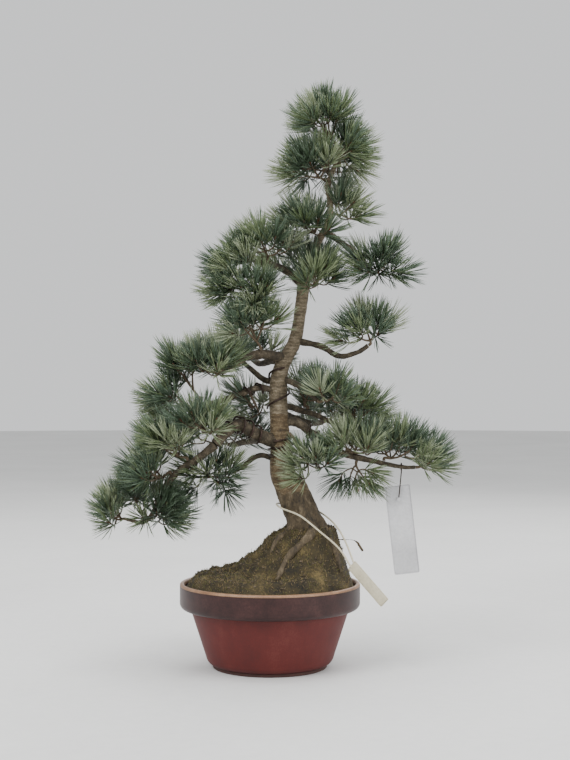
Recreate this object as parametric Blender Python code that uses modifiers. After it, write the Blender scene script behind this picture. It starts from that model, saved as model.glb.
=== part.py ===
"""Potted Japanese white pine, grown as an informal upright bonsai.

Metres, +Z up. The origin is the centre of the pot's flat underside. +X is to the right of the front view,
which looks along +Y. The pot holds a steep mossy mound, the trunk stands on it with its surface roots, and
boughs carry the masses of needles. Training wires and two blank labels belong to the plant as it is sold.
"""

import math
import random

import bmesh
import bpy
import numpy as np
from mathutils import Vector

# Clearances
GAP = 0.0003
WIRE_ROOM = 0.0014
CUT_GROWTH = 0.0004
STEM_GAP = 0.00045
SCRAP_SIZE = 0.00001

# Pot, a round training pot with a glazed band over a tapering body
POT_RIM_RADIUS = 0.120
POT_HEIGHT = 0.112
POT_BAND_HEIGHT = 0.034
POT_BAND_ROUND = 0.008
POT_BODY_TOP_RADIUS = 0.1050
POT_BODY_LOW_RADIUS = 0.0850
POT_FOOT_RADIUS = 0.076
POT_FOOT_HEIGHT = 0.004
POT_CORNER = 0.012
POT_LIP = 0.006
POT_WALL = 0.0065
POT_FLOOR = 0.010
POT_SIDES = 32

# Soil mound: each level gives its height, its left edge and its right edge at the pot's middle plane
SOIL_BELOW_RIM = 0.006
SOIL_GAP = 0.0012
MOUND_LEVELS = (
    (0.1150, -0.1120, 0.1120),
    (0.1220, -0.0940, 0.1080),
    (0.1290, -0.0520, 0.1050),
    (0.1410, -0.0350, 0.1000),
    (0.1570, -0.0130, 0.0950),
    (0.1710, -0.0020, 0.0910),
    (0.1830, 0.0190, 0.0870),
)
MOUND_SIDES = 24
MOUND_WAVE = 0.012

# Trunk: centre and radius from the flat cut to the tip
TRUNK_LINE = (
    (0.0510, 0.000, 0.1660, 0.0290),
    (0.0465, 0.000, 0.1870, 0.0255),
    (0.0415, 0.000, 0.2040, 0.0225),
    (0.0330, -0.001, 0.2230, 0.0212),
    (0.0240, -0.002, 0.2410, 0.0190),
    (0.0165, -0.003, 0.2580, 0.0168),
    (0.0150, -0.004, 0.2900, 0.0148),
    (0.0125, -0.004, 0.3200, 0.0124),
    (0.0110, -0.002, 0.3690, 0.0121),
    (0.0160, 0.000, 0.4000, 0.0102),
    (0.0330, 0.002, 0.4330, 0.0088),
    (0.0400, 0.003, 0.4700, 0.0080),
    (0.0450, 0.003, 0.5060, 0.0086),
    (0.0490, 0.002, 0.5300, 0.0065),
    (0.0620, 0.000, 0.5620, 0.0054),
    (0.0780, 0.000, 0.5920, 0.0047),
    (0.0800, 0.002, 0.6180, 0.0042),
    (0.0775, 0.004, 0.6430, 0.0039),
    (0.0870, 0.003, 0.6680, 0.0033),
    (0.0910, 0.002, 0.6880, 0.0026),
)
TRUNK_SIDES = 10
TRUNK_STEPS = 2
FLARE_LOBES = 5
FLARE_DEPTH = 0.22
FLARE_HEIGHT = 0.030
BULGE_HEIGHT = 0.234
BULGE_SIZE = 0.0035

# Surface roots: where each runs in plan over the mound, and its thickness at both ends
ROOTS = (
    ("front", ((0.058, -0.014), (0.053, -0.040), (0.038, -0.050), (0.022, -0.060), (0.015, -0.072), (0.009, -0.090)),
     0.0075, 0.0028),
    ("left", ((0.034, -0.006), (0.012, -0.030), (0.001, -0.042)), 0.0070, 0.0022),
    ("right", ((0.066, -0.010), (0.084, -0.030), (0.093, -0.042)), 0.0065, 0.0022),
    ("back_left", ((0.036, 0.010), (0.012, 0.032), (-0.012, 0.050)), 0.0075, 0.0024),
    ("back_right", ((0.064, 0.012), (0.078, 0.038), (0.080, 0.062)), 0.0070, 0.0024),
)
ROOT_LIFT = 0.0012
ROOT_SIDES = 5
DEAD_ROOT = ((0.070, -0.004, 0.176), (0.090, -0.010, 0.1700), (0.112, -0.016, 0.1690), (0.123, -0.018, 0.1560))
DEAD_ROOT_RADII = (0.0030, 0.0012)

# Boughs: parent limb, centre line from inside the parent outwards, thickness at both ends
BOUGHS = {
    "bough_left_upper": ("trunk", ((0.044, 0.003, 0.508), (0.027, -0.004, 0.524), (0.004, -0.012, 0.534),
                                   (-0.020, -0.016, 0.538)), 0.0062, 0.0034),
    "bough_left_mid": ("trunk", ((0.020, 0.000, 0.410), (-0.007, -0.014, 0.415), (-0.028, -0.026, 0.413),
                                 (-0.046, -0.032, 0.402), (-0.064, -0.036, 0.391)), 0.0072, 0.0040),
    "bough_left_cross": ("trunk", ((0.012, 0.000, 0.378), (-0.008, 0.010, 0.382), (-0.026, 0.016, 0.396),
                                   (-0.046, 0.022, 0.414)), 0.0045, 0.0028),
    "bough_left_thin": ("trunk", ((0.011, -0.002, 0.366), (-0.014, -0.010, 0.371), (-0.041, -0.010, 0.362),
                                  (-0.070, -0.006, 0.352), (-0.098, -0.006, 0.348)), 0.0048, 0.0028),
    "bough_left_low": ("trunk", ((0.013, -0.004, 0.296), (-0.018, -0.022, 0.310), (-0.040, -0.036, 0.323),
                                 (-0.056, -0.045, 0.314), (-0.070, -0.050, 0.298)), 0.0094, 0.0066),
    "bough_left_outer": ("bough_left_low", ((-0.0705, -0.0502, 0.2972), (-0.094, -0.046, 0.278),
                                            (-0.121, -0.038, 0.260), (-0.141, -0.030, 0.234),
                                            (-0.154, -0.026, 0.206), (-0.168, -0.022, 0.194),
                                            (-0.188, -0.018, 0.197)), 0.0058, 0.0024),
    "bough_left_under": ("trunk", ((0.016, -0.004, 0.272), (-0.014, -0.006, 0.281), (-0.040, -0.010, 0.264),
                                   (-0.062, -0.014, 0.257)), 0.0038, 0.0024),
    "bough_right_top": ("trunk", ((0.072, 0.000, 0.581), (0.099, -0.008, 0.561), (0.115, -0.014, 0.550),
                                  (0.138, -0.018, 0.540)), 0.0042, 0.0028),
    "bough_right_mid": ("trunk", ((0.034, 0.002, 0.434), (0.068, -0.004, 0.426), (0.092, -0.010, 0.413),
                                  (0.116, -0.013, 0.418), (0.130, -0.014, 0.427)), 0.0046, 0.0030),
    "bough_right_inner": ("trunk", ((0.012, -0.001, 0.384), (0.034, -0.014, 0.376), (0.050, -0.020, 0.365),
                                    (0.062, -0.023, 0.355)), 0.0044, 0.0030),
    "bough_right_back": ("trunk", ((0.012, -0.002, 0.350), (0.036, 0.018, 0.342), (0.062, 0.022, 0.334),
                                   (0.090, 0.014, 0.322), (0.108, 0.008, 0.326)), 0.0046, 0.0026),
    "bough_right_low": ("trunk", ((0.013, -0.004, 0.324), (0.036, -0.004, 0.325), (0.057, -0.006, 0.309),
                                  (0.080, -0.010, 0.295), (0.100, -0.014, 0.283), (0.121, -0.016, 0.278),
                                  (0.150, -0.018, 0.271), (0.178, -0.018, 0.266), (0.192, -0.018, 0.266)),
                        0.0064, 0.0024),
    "bough_back_left": ("trunk", ((0.018, 0.000, 0.404), (0.004, 0.030, 0.408), (-0.014, 0.066, 0.404),
                                  (-0.026, 0.092, 0.410)), 0.0062, 0.0034),
    "bough_back_right": ("trunk", ((0.012, -0.002, 0.336), (0.024, 0.034, 0.332), (0.052, 0.070, 0.322),
                                   (0.072, 0.094, 0.322)), 0.0066, 0.0036),
    "bough_back_low": ("trunk", ((0.014, -0.004, 0.306), (-0.006, 0.034, 0.302), (-0.034, 0.074, 0.296),
                                 (-0.054, 0.096, 0.290)), 0.0068, 0.0036),
}

# Masses of needles: limb, share of its length where the stem leaves it, middle of the shoots, their spread,
# the way the brushes point, how far they fan out, and the number of shoots
MASSES = {
    "needles_apex": ("trunk", 1.00, (0.072, -0.004, 0.726), (0.016, 0.014, 0.008), (-0.28, -0.1, 1.0), 0.80, 5),
    "needles_apex_left": ("trunk", 0.92, (0.052, -0.012, 0.663), (0.018, 0.016, 0.012), (-0.6, -0.3, 0.75), 0.8, 4),
    "needles_apex_right": ("trunk", 0.965, (0.103, -0.006, 0.686), (0.009, 0.014, 0.010), (0.8, -0.1, 0.45), 0.8, 4),
    "needles_apex_back": ("trunk", 0.94, (0.078, 0.034, 0.672), (0.020, 0.010, 0.014), (0.0, 0.9, 0.5), 0.8, 4),
    "needles_neck": ("trunk", 0.84, (0.098, -0.004, 0.606), (0.006, 0.010, 0.004), (0.4, -0.1, 0.9), 0.7, 2),
    "needles_shoulder": ("trunk", 0.80, (0.046, -0.010, 0.584), (0.018, 0.018, 0.006), (-0.35, -0.2, 0.9), 0.8, 4),
    "needles_upper_left": ("bough_left_upper", 0.80, (-0.004, -0.022, 0.556), (0.022, 0.022, 0.008),
                           (-0.2, -0.2, 0.95), 0.7, 4),
    "needles_upper_outer": ("bough_left_upper", 1.00, (-0.046, -0.012, 0.522), (0.012, 0.024, 0.016),
                            (-0.85, 0.0, 0.45), 0.75, 4),
    "needles_upper_front": ("bough_left_upper", 0.93, (-0.028, -0.046, 0.490), (0.026, 0.010, 0.012),
                            (-0.25, -0.6, 0.35), 0.8, 4),
    "needles_heart": ("bough_left_mid", 0.40, (-0.020, -0.044, 0.454), (0.018, 0.014, 0.006),
                      (-0.02, -0.3, 0.95), 0.75, 4),
    "needles_fork": ("trunk", 0.655, (0.062, -0.020, 0.514), (0.010, 0.012, 0.005), (0.15, -0.25, 0.95), 0.7, 3),
    "needles_right_top": ("bough_right_top", 1.00, (0.143, -0.022, 0.531), (0.016, 0.012, 0.010),
                          (-0.05, -0.2, 0.25), 1.1, 4),
    "needles_right_mid": ("bough_right_mid", 1.00, (0.134, -0.016, 0.446), (0.018, 0.014, 0.012),
                          (0.0, -0.1, 0.50), 0.95, 4),
    "needles_left_mid": ("bough_left_mid", 1.00, (-0.076, -0.038, 0.398), (0.018, 0.016, 0.008),
                         (-0.05, -0.2, 1.0), 0.75, 4),
    "needles_left_rear": ("bough_left_cross", 1.00, (-0.070, 0.028, 0.408), (0.018, 0.018, 0.008),
                          (-0.35, 0.5, 0.6), 0.8, 3),
    "needles_left_rise": ("bough_left_thin", 0.95, (-0.113, -0.008, 0.394), (0.014, 0.016, 0.008),
                          (-0.3, 0.0, 0.9), 0.7, 3),
    "needles_left_reach": ("bough_left_thin", 1.00, (-0.132, -0.006, 0.352), (0.012, 0.018, 0.018),
                           (-0.9, 0.0, 0.4), 0.8, 4),
    "needles_low_front": ("bough_left_low", 0.84, (-0.086, -0.058, 0.322), (0.018, 0.012, 0.008),
                          (0.0, -0.35, 0.9), 0.75, 3),
    "needles_low_left": ("bough_left_outer", 0.25, (-0.134, -0.042, 0.298), (0.022, 0.016, 0.010),
                         (-0.4, -0.2, 0.8), 0.8, 4),
    "needles_low_outer": ("bough_left_outer", 0.42, (-0.158, -0.028, 0.260), (0.014, 0.018, 0.010),
                          (-0.7, 0.0, 0.6), 0.8, 4),
    "needles_hanging": ("bough_left_under", 1.00, (-0.080, -0.022, 0.256), (0.018, 0.014, 0.006),
                        (-0.1, -0.3, 0.2), 1.1, 4),
    "needles_tip_left": ("bough_left_outer", 1.00, (-0.203, -0.018, 0.206), (0.010, 0.014, 0.006),
                         (-0.35, 0.0, 0.8), 0.85, 3),
    "needles_tip_middle": ("bough_left_outer", 0.83, (-0.176, -0.014, 0.224), (0.016, 0.018, 0.006),
                           (-0.1, 0.1, 1.0), 0.7, 3),
    "needles_tip_inner": ("bough_left_outer", 0.70, (-0.144, -0.028, 0.206), (0.010, 0.014, 0.012),
                          (0.35, -0.2, 0.35), 1.1, 4),
    "needles_behind_left": ("bough_left_thin", 0.35, (-0.026, 0.014, 0.342), (0.014, 0.014, 0.010),
                            (-0.5, 0.4, 0.2), 0.9, 2),
    "needles_behind_right": ("bough_right_back", 0.42, (0.046, 0.034, 0.358), (0.012, 0.010, 0.008),
                             (0.1, 0.4, 0.7), 0.9, 2),
    "needles_right_inner": ("bough_right_inner", 1.00, (0.075, -0.030, 0.362), (0.014, 0.012, 0.005),
                            (-0.05, -0.2, 1.0), 0.75, 3),
    "needles_right_back": ("bough_right_back", 1.00, (0.118, 0.004, 0.338), (0.012, 0.012, 0.006),
                           (0.3, 0.1, 0.8), 0.8, 3),
    "needles_right_low": ("bough_right_low", 0.52, (0.114, -0.022, 0.292), (0.018, 0.014, 0.006),
                          (0.0, -0.2, 1.0), 0.75, 4),
    "needles_right_outer": ("bough_right_low", 0.78, (0.166, -0.016, 0.290), (0.020, 0.016, 0.006),
                            (0.1, 0.0, 1.0), 0.7, 4),
    "needles_right_tip": ("bough_right_low", 1.00, (0.205, -0.018, 0.274), (0.008, 0.012, 0.005),
                          (0.45, 0.0, 0.85), 0.75, 3),
    "needles_right_lowest": ("trunk", 0.272, (0.060, -0.032, 0.270), (0.014, 0.012, 0.008),
                             (-0.1, -0.3, 0.5), 1.0, 3),
    "needles_right_hanging": ("bough_right_low", 0.60, (0.118, -0.014, 0.256), (0.010, 0.010, 0.004),
                              (0.3, -0.1, -0.6), 0.9, 2),
    "needles_back_upper": ("trunk", 0.66, (0.044, 0.056, 0.536), (0.030, 0.018, 0.010), (0.0, 0.6, 0.8), 0.8, 4),
    "needles_back_left": ("bough_back_left", 1.00, (-0.034, 0.106, 0.418), (0.030, 0.018, 0.012),
                          (-0.1, 0.6, 0.8), 0.8, 4),
    "needles_back_right": ("bough_back_right", 1.00, (0.082, 0.108, 0.332), (0.030, 0.018, 0.012),
                           (0.1, 0.6, 0.8), 0.8, 4),
    "needles_back_low": ("bough_back_low", 1.00, (-0.066, 0.110, 0.300), (0.032, 0.020, 0.012),
                         (-0.1, 0.6, 0.8), 0.8, 4),
}
FIRST_SEED = 40
GOLDEN_ANGLE = math.pi * (3 - math.sqrt(5))
HUB_SHARE = 0.62
HUB_DROP = 0.010
SPREAD_FACTOR = 1.35
SWAY = 0.12
COLLAR = 0.004
TWIG_OVERLAP = 0.002
SITE_SHARE = 1.2
CROWDING = 2.6
BASIS_HINT = (0.31, 0.87, 0.38)
NEEDLE_SPREAD = (0.92, 1.06)
NEEDLE_ROOM = 0.0004
STEM_RADIUS = 0.0022
TWIG_RADIUS = 0.0016
TWIG_TIP_RADIUS = 0.0010
CORE_LENGTH = 0.0080
CORE_RADIUS = 0.0034
NEEDLE_LENGTH = 0.038
NEEDLE_LEANS = ((0.30, math.radians(16)), (-0.05, math.radians(38)), (-0.60, math.radians(60)))
SHORTEST_SHARE = 0.30
CLIP_STEPS = 12

# Training wires: limb, share of its length where the coil starts and ends, and the number of turns
WIRE_RADIUS = 0.0014
WIRES = {
    "wire_left_bough": ("bough_left_low", 0.30, 0.74, 3.5),
    "wire_right_bough": ("bough_right_low", 0.20, 0.44, 3.0),
}
WIRE_TURN_POINTS = 9
WIRE_CLEARANCE = 0.0017

# Hang tag, a blank plate on a wire loop
TAG_WIDTH = 0.033
TAG_HEIGHT = 0.117
TAG_THICKNESS = 0.0008
TAG_TOP = (0.168, -0.019, 0.242)
TAG_LEAN = math.radians(-6.5)
TAG_HOLE_RADIUS = 0.0024
TAG_HOLE_DROP = 0.018
TAG_WIRE_RADIUS = 0.0008
TAG_SHARE = 0.905

# Trunk label, a blank plastic strip on a band
LABEL_WIDTH = 0.015
LABEL_LENGTH = 0.066
LABEL_THICKNESS = 0.0014
LABEL_TOP = (0.1060, -0.0620, 0.1430)
LABEL_FOOT = (0.1500, -0.0880, 0.0940)
BAND_RADIUS = 0.0012

COLORS = {
    "band": ((0.045, 0.018, 0.016), 0.30, 0.0),
    "clay": ((0.125, 0.022, 0.018), 0.55, 0.0),
    "soil": ((0.060, 0.042, 0.018), 0.95, 0.0),
    "bark": ((0.110, 0.078, 0.045), 0.85, 0.0),
    "needle": ((0.050, 0.100, 0.050), 0.50, 0.0),
    "wire": ((0.040, 0.022, 0.016), 0.45, 0.6),
    "plate": ((0.600, 0.600, 0.610), 0.40, 0.0),
    "label": ((0.640, 0.600, 0.460), 0.45, 0.0),
}


def clear_scene():
    for obj in list(bpy.data.objects):
        bpy.data.objects.remove(obj, do_unlink=True)


def new_collection(name):
    collection = bpy.data.collections.new(name)
    bpy.context.scene.collection.children.link(collection)
    return collection


def make_material(name):
    color, roughness, metallic = COLORS[name]
    material = bpy.data.materials.new(name)
    material.use_nodes = True
    shader = material.node_tree.nodes["Principled BSDF"]
    shader.inputs["Base Color"].default_value = (*color, 1.0)
    shader.inputs["Roughness"].default_value = roughness
    shader.inputs["Metallic"].default_value = metallic
    return material


def smooth_line(points, steps):
    """Points of a Catmull-Rom curve through the given ones, with any further columns carried along."""
    rows = [Vector(point) for point in points]
    rows = [rows[0] * 2 - rows[1]] + rows + [rows[-1] * 2 - rows[-2]]
    line = []
    for a, b, c, d in zip(rows, rows[1:], rows[2:], rows[3:]):
        for step in range(steps):
            t = step / steps
            line.append(0.5 * (2 * b + (c - a) * t + (2 * a - 5 * b + 4 * c - d) * t * t
                               + (3 * b - a - 3 * c + d) * t ** 3))
    line.append(rows[-2])
    return line


def lengths_along(line):
    total = [0.0]
    for first, second in zip(line, line[1:]):
        total.append(total[-1] + (second - first).length)
    return total


class Limb:
    """A centre line with a radius at each of its points."""

    def __init__(self, line, radii):
        self.line = line
        self.radii = radii
        self.lengths = lengths_along(line)

    def at(self, share):
        """Centre, direction and radius at a share of the length."""
        wanted = share * self.lengths[-1]
        k = 0
        while k < len(self.line) - 2 and self.lengths[k + 1] < wanted:
            k += 1
        t = (wanted - self.lengths[k]) / (self.lengths[k + 1] - self.lengths[k])
        center = self.line[k].lerp(self.line[k + 1], t)
        direction = (self.line[k + 1] - self.line[k]).normalized()
        return center, direction, self.radii[k] + t * (self.radii[k + 1] - self.radii[k])


def trunk_limb():
    rows = smooth_line([Vector(row) for row in TRUNK_LINE], TRUNK_STEPS)
    return Limb([row.xyz for row in rows], [row.w for row in rows])


def tapered_limb(points, first_radius, last_radius, steps):
    line = smooth_line([Vector(point) for point in points], steps)
    lengths = lengths_along(line)
    radii = [first_radius + (last_radius - first_radius) * length / lengths[-1] for length in lengths]
    return Limb(line, radii)


def add_object(name, mesh, collection, material):
    obj = bpy.data.objects.new(name, mesh)
    collection.objects.link(obj)
    if material is not None:
        mesh.materials.clear()
        mesh.materials.append(material)
    return obj


def as_helper(obj):
    obj.hide_render = True
    obj.display_type = "WIRE"
    return obj


def shade(obj, angle=50):
    obj.data.shade_smooth()
    obj.data.set_sharp_from_angle(angle=math.radians(angle))
    return obj


def tube(name, limb, collection, material, grow=0.0, sides=None):
    """A tapering tube along a limb, as a closed mesh. With sides it has that many instead of the round bevel's."""
    curve = bpy.data.curves.new(name, "CURVE")
    curve.dimensions = "3D"
    curve.use_fill_caps = True
    guide = None
    if sides is None:
        curve.bevel_depth = 1.0
        curve.bevel_resolution = 1
    else:
        outline = bpy.data.curves.new(name + "_outline", "CURVE")
        outline.dimensions = "2D"
        ring = outline.splines.new("POLY")
        ring.points.add(sides - 1)
        for k, point in enumerate(ring.points):
            angle = math.tau * k / sides
            point.co = (math.cos(angle), math.sin(angle), 0.0, 1.0)
        ring.use_cyclic_u = True
        guide = bpy.data.objects.new(name + "_outline", outline)
        curve.bevel_mode = "OBJECT"
        curve.bevel_object = guide
    spline = curve.splines.new("POLY")
    spline.points.add(len(limb.line) - 1)
    for point, place, radius in zip(spline.points, limb.line, limb.radii):
        point.co = (*place, 1.0)
        point.radius = radius + grow
    maker = bpy.data.objects.new(name + "_curve", curve)
    collection.objects.link(maker)
    bpy.context.view_layer.update()
    graph = bpy.context.evaluated_depsgraph_get()
    mesh = bpy.data.meshes.new_from_object(maker.evaluated_get(graph))
    bpy.data.objects.remove(maker)
    if guide is not None:
        bpy.data.objects.remove(guide)
    bm = bmesh.new()
    bm.from_mesh(mesh)
    bmesh.ops.remove_doubles(bm, verts=bm.verts, dist=1e-6)
    bmesh.ops.recalc_face_normals(bm, faces=bm.faces)
    bm.to_mesh(mesh)
    bm.free()
    mesh.name = name
    return add_object(name, mesh, collection, material)


def union_of(name, pieces, collection, material, solver="EXACT"):
    """One solid from overlapping pieces: one union on their collection, applied, and the pieces removed."""
    workshop = new_collection(name + "_pieces")
    for piece in pieces[1:]:
        for home in list(piece.users_collection):
            home.objects.unlink(piece)
        workshop.objects.link(piece)
    first = pieces[0]
    joining = first.modifiers.new("join", "BOOLEAN")
    joining.operation = "UNION"
    joining.operand_type = "COLLECTION"
    joining.collection = workshop
    joining.solver = solver
    bpy.context.view_layer.update()
    graph = bpy.context.evaluated_depsgraph_get()
    mesh = bpy.data.meshes.new_from_object(first.evaluated_get(graph))
    mesh.name = name
    for piece in pieces:
        bpy.data.objects.remove(piece)
    bpy.data.collections.remove(workshop)
    drop_scraps(mesh)
    return add_object(name, mesh, collection, material)


def drop_scraps(mesh):
    """Merges what a union left closer than a hundredth of a millimetre, and keeps the largest body only."""
    bm = bmesh.new()
    bm.from_mesh(mesh)
    bmesh.ops.triangulate(bm, faces=bm.faces)
    bmesh.ops.dissolve_degenerate(bm, dist=SCRAP_SIZE, edges=bm.edges)
    left = set(bm.verts)
    bodies = []
    while left:
        body = {left.pop()}
        front = list(body)
        while front:
            corner = front.pop()
            near = {link.other_vert(corner) for link in corner.link_edges} - body
            body |= near
            front += near
        left -= body
        bodies.append(body)
    bodies.sort(key=len)
    for body in bodies[:-1]:
        bmesh.ops.delete(bm, geom=list(body), context="VERTS")
    bm.to_mesh(mesh)
    bm.free()


def cut(obj, cutter, name="cut", solver="EXACT"):
    modifier = obj.modifiers.new(name, "BOOLEAN")
    modifier.operation = "DIFFERENCE"
    modifier.object = cutter
    modifier.solver = solver


def turned(name, profile, sides, collection, material):
    """A solid turned round Z from a profile that runs down its outer side and ends on the axis at both ends."""
    mesh = bpy.data.meshes.new(name)
    bm = bmesh.new()
    corners = [bm.verts.new((radius, 0.0, height)) for radius, height in profile]
    for first, second in zip(corners, corners[1:]):
        bm.edges.new((first, second))
    bm.to_mesh(mesh)
    bm.free()
    obj = add_object(name, mesh, collection, material)
    screw = obj.modifiers.new("turn", "SCREW")
    screw.steps = sides
    screw.render_steps = sides
    screw.use_merge_vertices = True
    screw.merge_threshold = 0.00005
    return obj


def loft(name, rings, collection, material):
    """A closed solid through rings of equal count, from the lowest to the highest, with a flat cap at each end."""
    mesh = bpy.data.meshes.new(name)
    bm = bmesh.new()
    made = [[bm.verts.new(point) for point in ring] for ring in rings]
    for low, high in zip(made, made[1:]):
        for k, corner in enumerate(low):
            after = (k + 1) % len(low)
            bm.faces.new((corner, low[after], high[after], high[k]))
    bm.faces.new(list(reversed(made[0])))
    bm.faces.new(made[-1])
    bmesh.ops.triangulate(bm, faces=bm.faces)
    bm.to_mesh(mesh)
    bm.free()
    return add_object(name, mesh, collection, material)


def arc(center_x, center_z, radius, start, end, steps):
    """Points of an arc in the profile plane, from one angle in degrees to another."""
    points = []
    for k in range(steps + 1):
        angle = math.radians(start + (end - start) * k / steps)
        points.append((center_x + radius * math.cos(angle), center_z + radius * math.sin(angle)))
    return points


def pot_inside(gap=0.0, lift=0.0):
    """Radius and height of each corner of the inner wall, or of a body inside it by a gap and above the floor."""
    band_low = POT_HEIGHT - POT_BAND_HEIGHT
    return [
        (POT_BODY_LOW_RADIUS - POT_WALL - gap, POT_FLOOR + lift),
        (POT_BODY_TOP_RADIUS - POT_WALL - gap, band_low - POT_WALL),
        (POT_RIM_RADIUS - POT_WALL - gap, band_low + POT_WALL),
    ]


def make_pot(collection, materials):
    band_low = POT_HEIGHT - POT_BAND_HEIGHT
    corner_high = POT_FOOT_HEIGHT + POT_CORNER
    profile = [(0.0, POT_FLOOR)] + pot_inside() + [(POT_RIM_RADIUS - POT_WALL, POT_HEIGHT - POT_LIP / 2)]
    profile += arc(POT_RIM_RADIUS - POT_LIP / 2, POT_HEIGHT - POT_LIP / 2, POT_LIP / 2, 150, 0, 3)
    profile += arc(POT_RIM_RADIUS - POT_BAND_ROUND, band_low + POT_BAND_ROUND, POT_BAND_ROUND, 0, -80, 3)
    profile += [(POT_BODY_TOP_RADIUS, band_low - 0.001)]
    profile += arc(POT_BODY_LOW_RADIUS - POT_CORNER, corner_high, POT_CORNER, -14, -80, 2)
    profile += [(POT_FOOT_RADIUS, POT_FOOT_HEIGHT), (POT_FOOT_RADIUS, 0.0), (0.0, 0.0)]
    pot = turned("pot", profile, POT_SIDES, collection, materials["clay"])
    return shade(pot, 35)


def mound_ring(height):
    """Middle and radius of the mound at a height, between its named levels."""
    levels = MOUND_LEVELS
    k = 0
    while k < len(levels) - 2 and levels[k + 1][0] < height:
        k += 1
    low, high = levels[k], levels[k + 1]
    t = min(1.0, max(0.0, (height - low[0]) / (high[0] - low[0])))
    left = low[1] + t * (high[1] - low[1])
    right = low[2] + t * (high[2] - low[2])
    return (left + right) / 2, (right - left) / 2


def mound_top(x, y):
    """Height of the mound over a point in plan."""
    low, high = MOUND_LEVELS[0][0], MOUND_LEVELS[-1][0]
    for _ in range(30):
        height = (low + high) / 2
        middle, radius = mound_ring(height)
        if math.hypot(x - middle, y) < radius:
            low = height
        else:
            high = height
    return (low + high) / 2


def circle(middle, radius, height, wave=0.0):
    ring = []
    for k in range(MOUND_SIDES):
        angle = math.tau * k / MOUND_SIDES
        reach = radius * (1 + wave * math.sin(3 * angle + 40 * height) + wave * math.sin(7 * angle + 90 * height))
        ring.append((middle + reach * math.cos(angle), reach * math.sin(angle), height))
    return ring


def make_soil(collection, materials, cutter):
    rings = [circle(0.0, radius, height) for radius, height in pot_inside(SOIL_GAP, GAP)]
    rings.append(circle(0.0, rings[-1][0][0], POT_HEIGHT - SOIL_BELOW_RIM))
    for height, left, right in MOUND_LEVELS:
        wave = 0.0 if height < POT_HEIGHT + POT_LIP else MOUND_WAVE
        rings.append(circle((left + right) / 2, (right - left) / 2, height, wave))
    soil = loft("soil_mound", rings, collection, materials["soil"])
    cut(soil, cutter)
    return shade(soil)


def trunk_rings(trunk, grow=0.0, drop=0.0):
    """Rings of the trunk: level at the flat cut, then square to the centre line."""
    rings = []
    foot = trunk.line[0].z
    for k, center in enumerate(trunk.line):
        before = trunk.line[max(k - 1, 0)]
        after = trunk.line[min(k + 1, len(trunk.line) - 1)]
        along = (after - before).normalized()
        if k == 0:
            along = Vector((0.0, 0.0, 1.0))
        side = Vector((0.0, 1.0, 0.0)).cross(along).normalized()
        back = along.cross(side)
        above = center.z - foot
        flare = FLARE_DEPTH * math.exp(-above / FLARE_HEIGHT)
        bulge = BULGE_SIZE * math.exp(-((center.z - BULGE_HEIGHT) / 0.014) ** 2)
        ring = []
        for j in range(TRUNK_SIDES):
            angle = math.tau * j / TRUNK_SIDES
            radius = trunk.radii[k] * (1 + flare * (math.cos(FLARE_LOBES * angle + 0.6) - 0.3))
            radius += bulge * max(0.0, math.cos(angle + 0.4)) + grow
            ring.append(center + side * (radius * math.cos(angle)) + back * (radius * math.sin(angle)))
        rings.append(ring)
    if drop:
        rings.insert(0, [point - Vector((0.0, 0.0, drop)) for point in rings[0]])
    return rings


def root_limbs():
    limbs = []
    for name, plan, first_radius, last_radius in ROOTS:
        points = []
        for k, (x, y) in enumerate(plan):
            height = max(mound_top(x, y) + ROOT_LIFT, 0.0)
            if k == 0:
                height = TRUNK_LINE[0][2] + 0.018
            points.append((x, y, height))
        limbs.append((name, tapered_limb(points, first_radius, last_radius, 1)))
    limbs.append(("dead", tapered_limb(DEAD_ROOT, *DEAD_ROOT_RADII, 1)))
    return limbs


def make_trunk(trunk, collection, cutters, materials):
    """The trunk with its surface roots, and a slightly larger copy that cuts the soil and the boughs clear."""
    pieces = [loft("trunk_core", trunk_rings(trunk), collection, materials["bark"])]
    larger = [loft("trunk_large", trunk_rings(trunk, CUT_GROWTH, CUT_GROWTH), cutters, None)]
    for name, limb in root_limbs():
        pieces.append(tube("root_" + name, limb, collection, materials["bark"], sides=ROOT_SIDES))
        wide = longer(limb, 2 * CUT_GROWTH)
        larger.append(tube("root_large_" + name, wide, cutters, None, grow=2 * CUT_GROWTH, sides=ROOT_SIDES))
    stem_cutter = loft("trunk_clearance", trunk_rings(trunk, CUT_GROWTH, CUT_GROWTH), cutters, None)
    body = union_of("trunk", pieces, collection, materials["bark"])
    soil_cutter = union_of("root_clearance", larger, cutters, None)
    return shade(body), as_helper(stem_cutter), as_helper(soil_cutter)


def longer(limb, extra):
    """The limb with its last point moved on by a little."""
    line = list(limb.line)
    line[-1] = line[-1] + (line[-1] - line[-2]).normalized() * extra
    return Limb(line, limb.radii)


def make_boughs(trunk, stem_cutter, collection, cutters, materials):
    limbs = {"trunk": trunk}
    for name, (parent, points, first_radius, last_radius) in BOUGHS.items():
        limb = tapered_limb(points, first_radius, last_radius, 2)
        limbs[name] = limb
        bough = tube(name, limb, collection, materials["bark"])
        if parent != "trunk":
            clearance = tube(name + "_clearance", longer(limbs[parent], CUT_GROWTH), cutters, None, grow=CUT_GROWTH)
            cut(bough, as_helper(clearance))
        else:
            cut(bough, stem_cutter)
        shade(bough)
    return limbs


def side_start(limb, share, goal):
    """Where a stem leaves a limb for a goal: the point just clear of the bark, and its direction there."""
    center, along, radius = limb.at(share)
    if share >= 1.0:
        return center + along * STEM_GAP, along
    away = goal - center
    away = (away - along * away.dot(along)).normalized()
    return center + away * (radius + STEM_GAP), away


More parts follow.
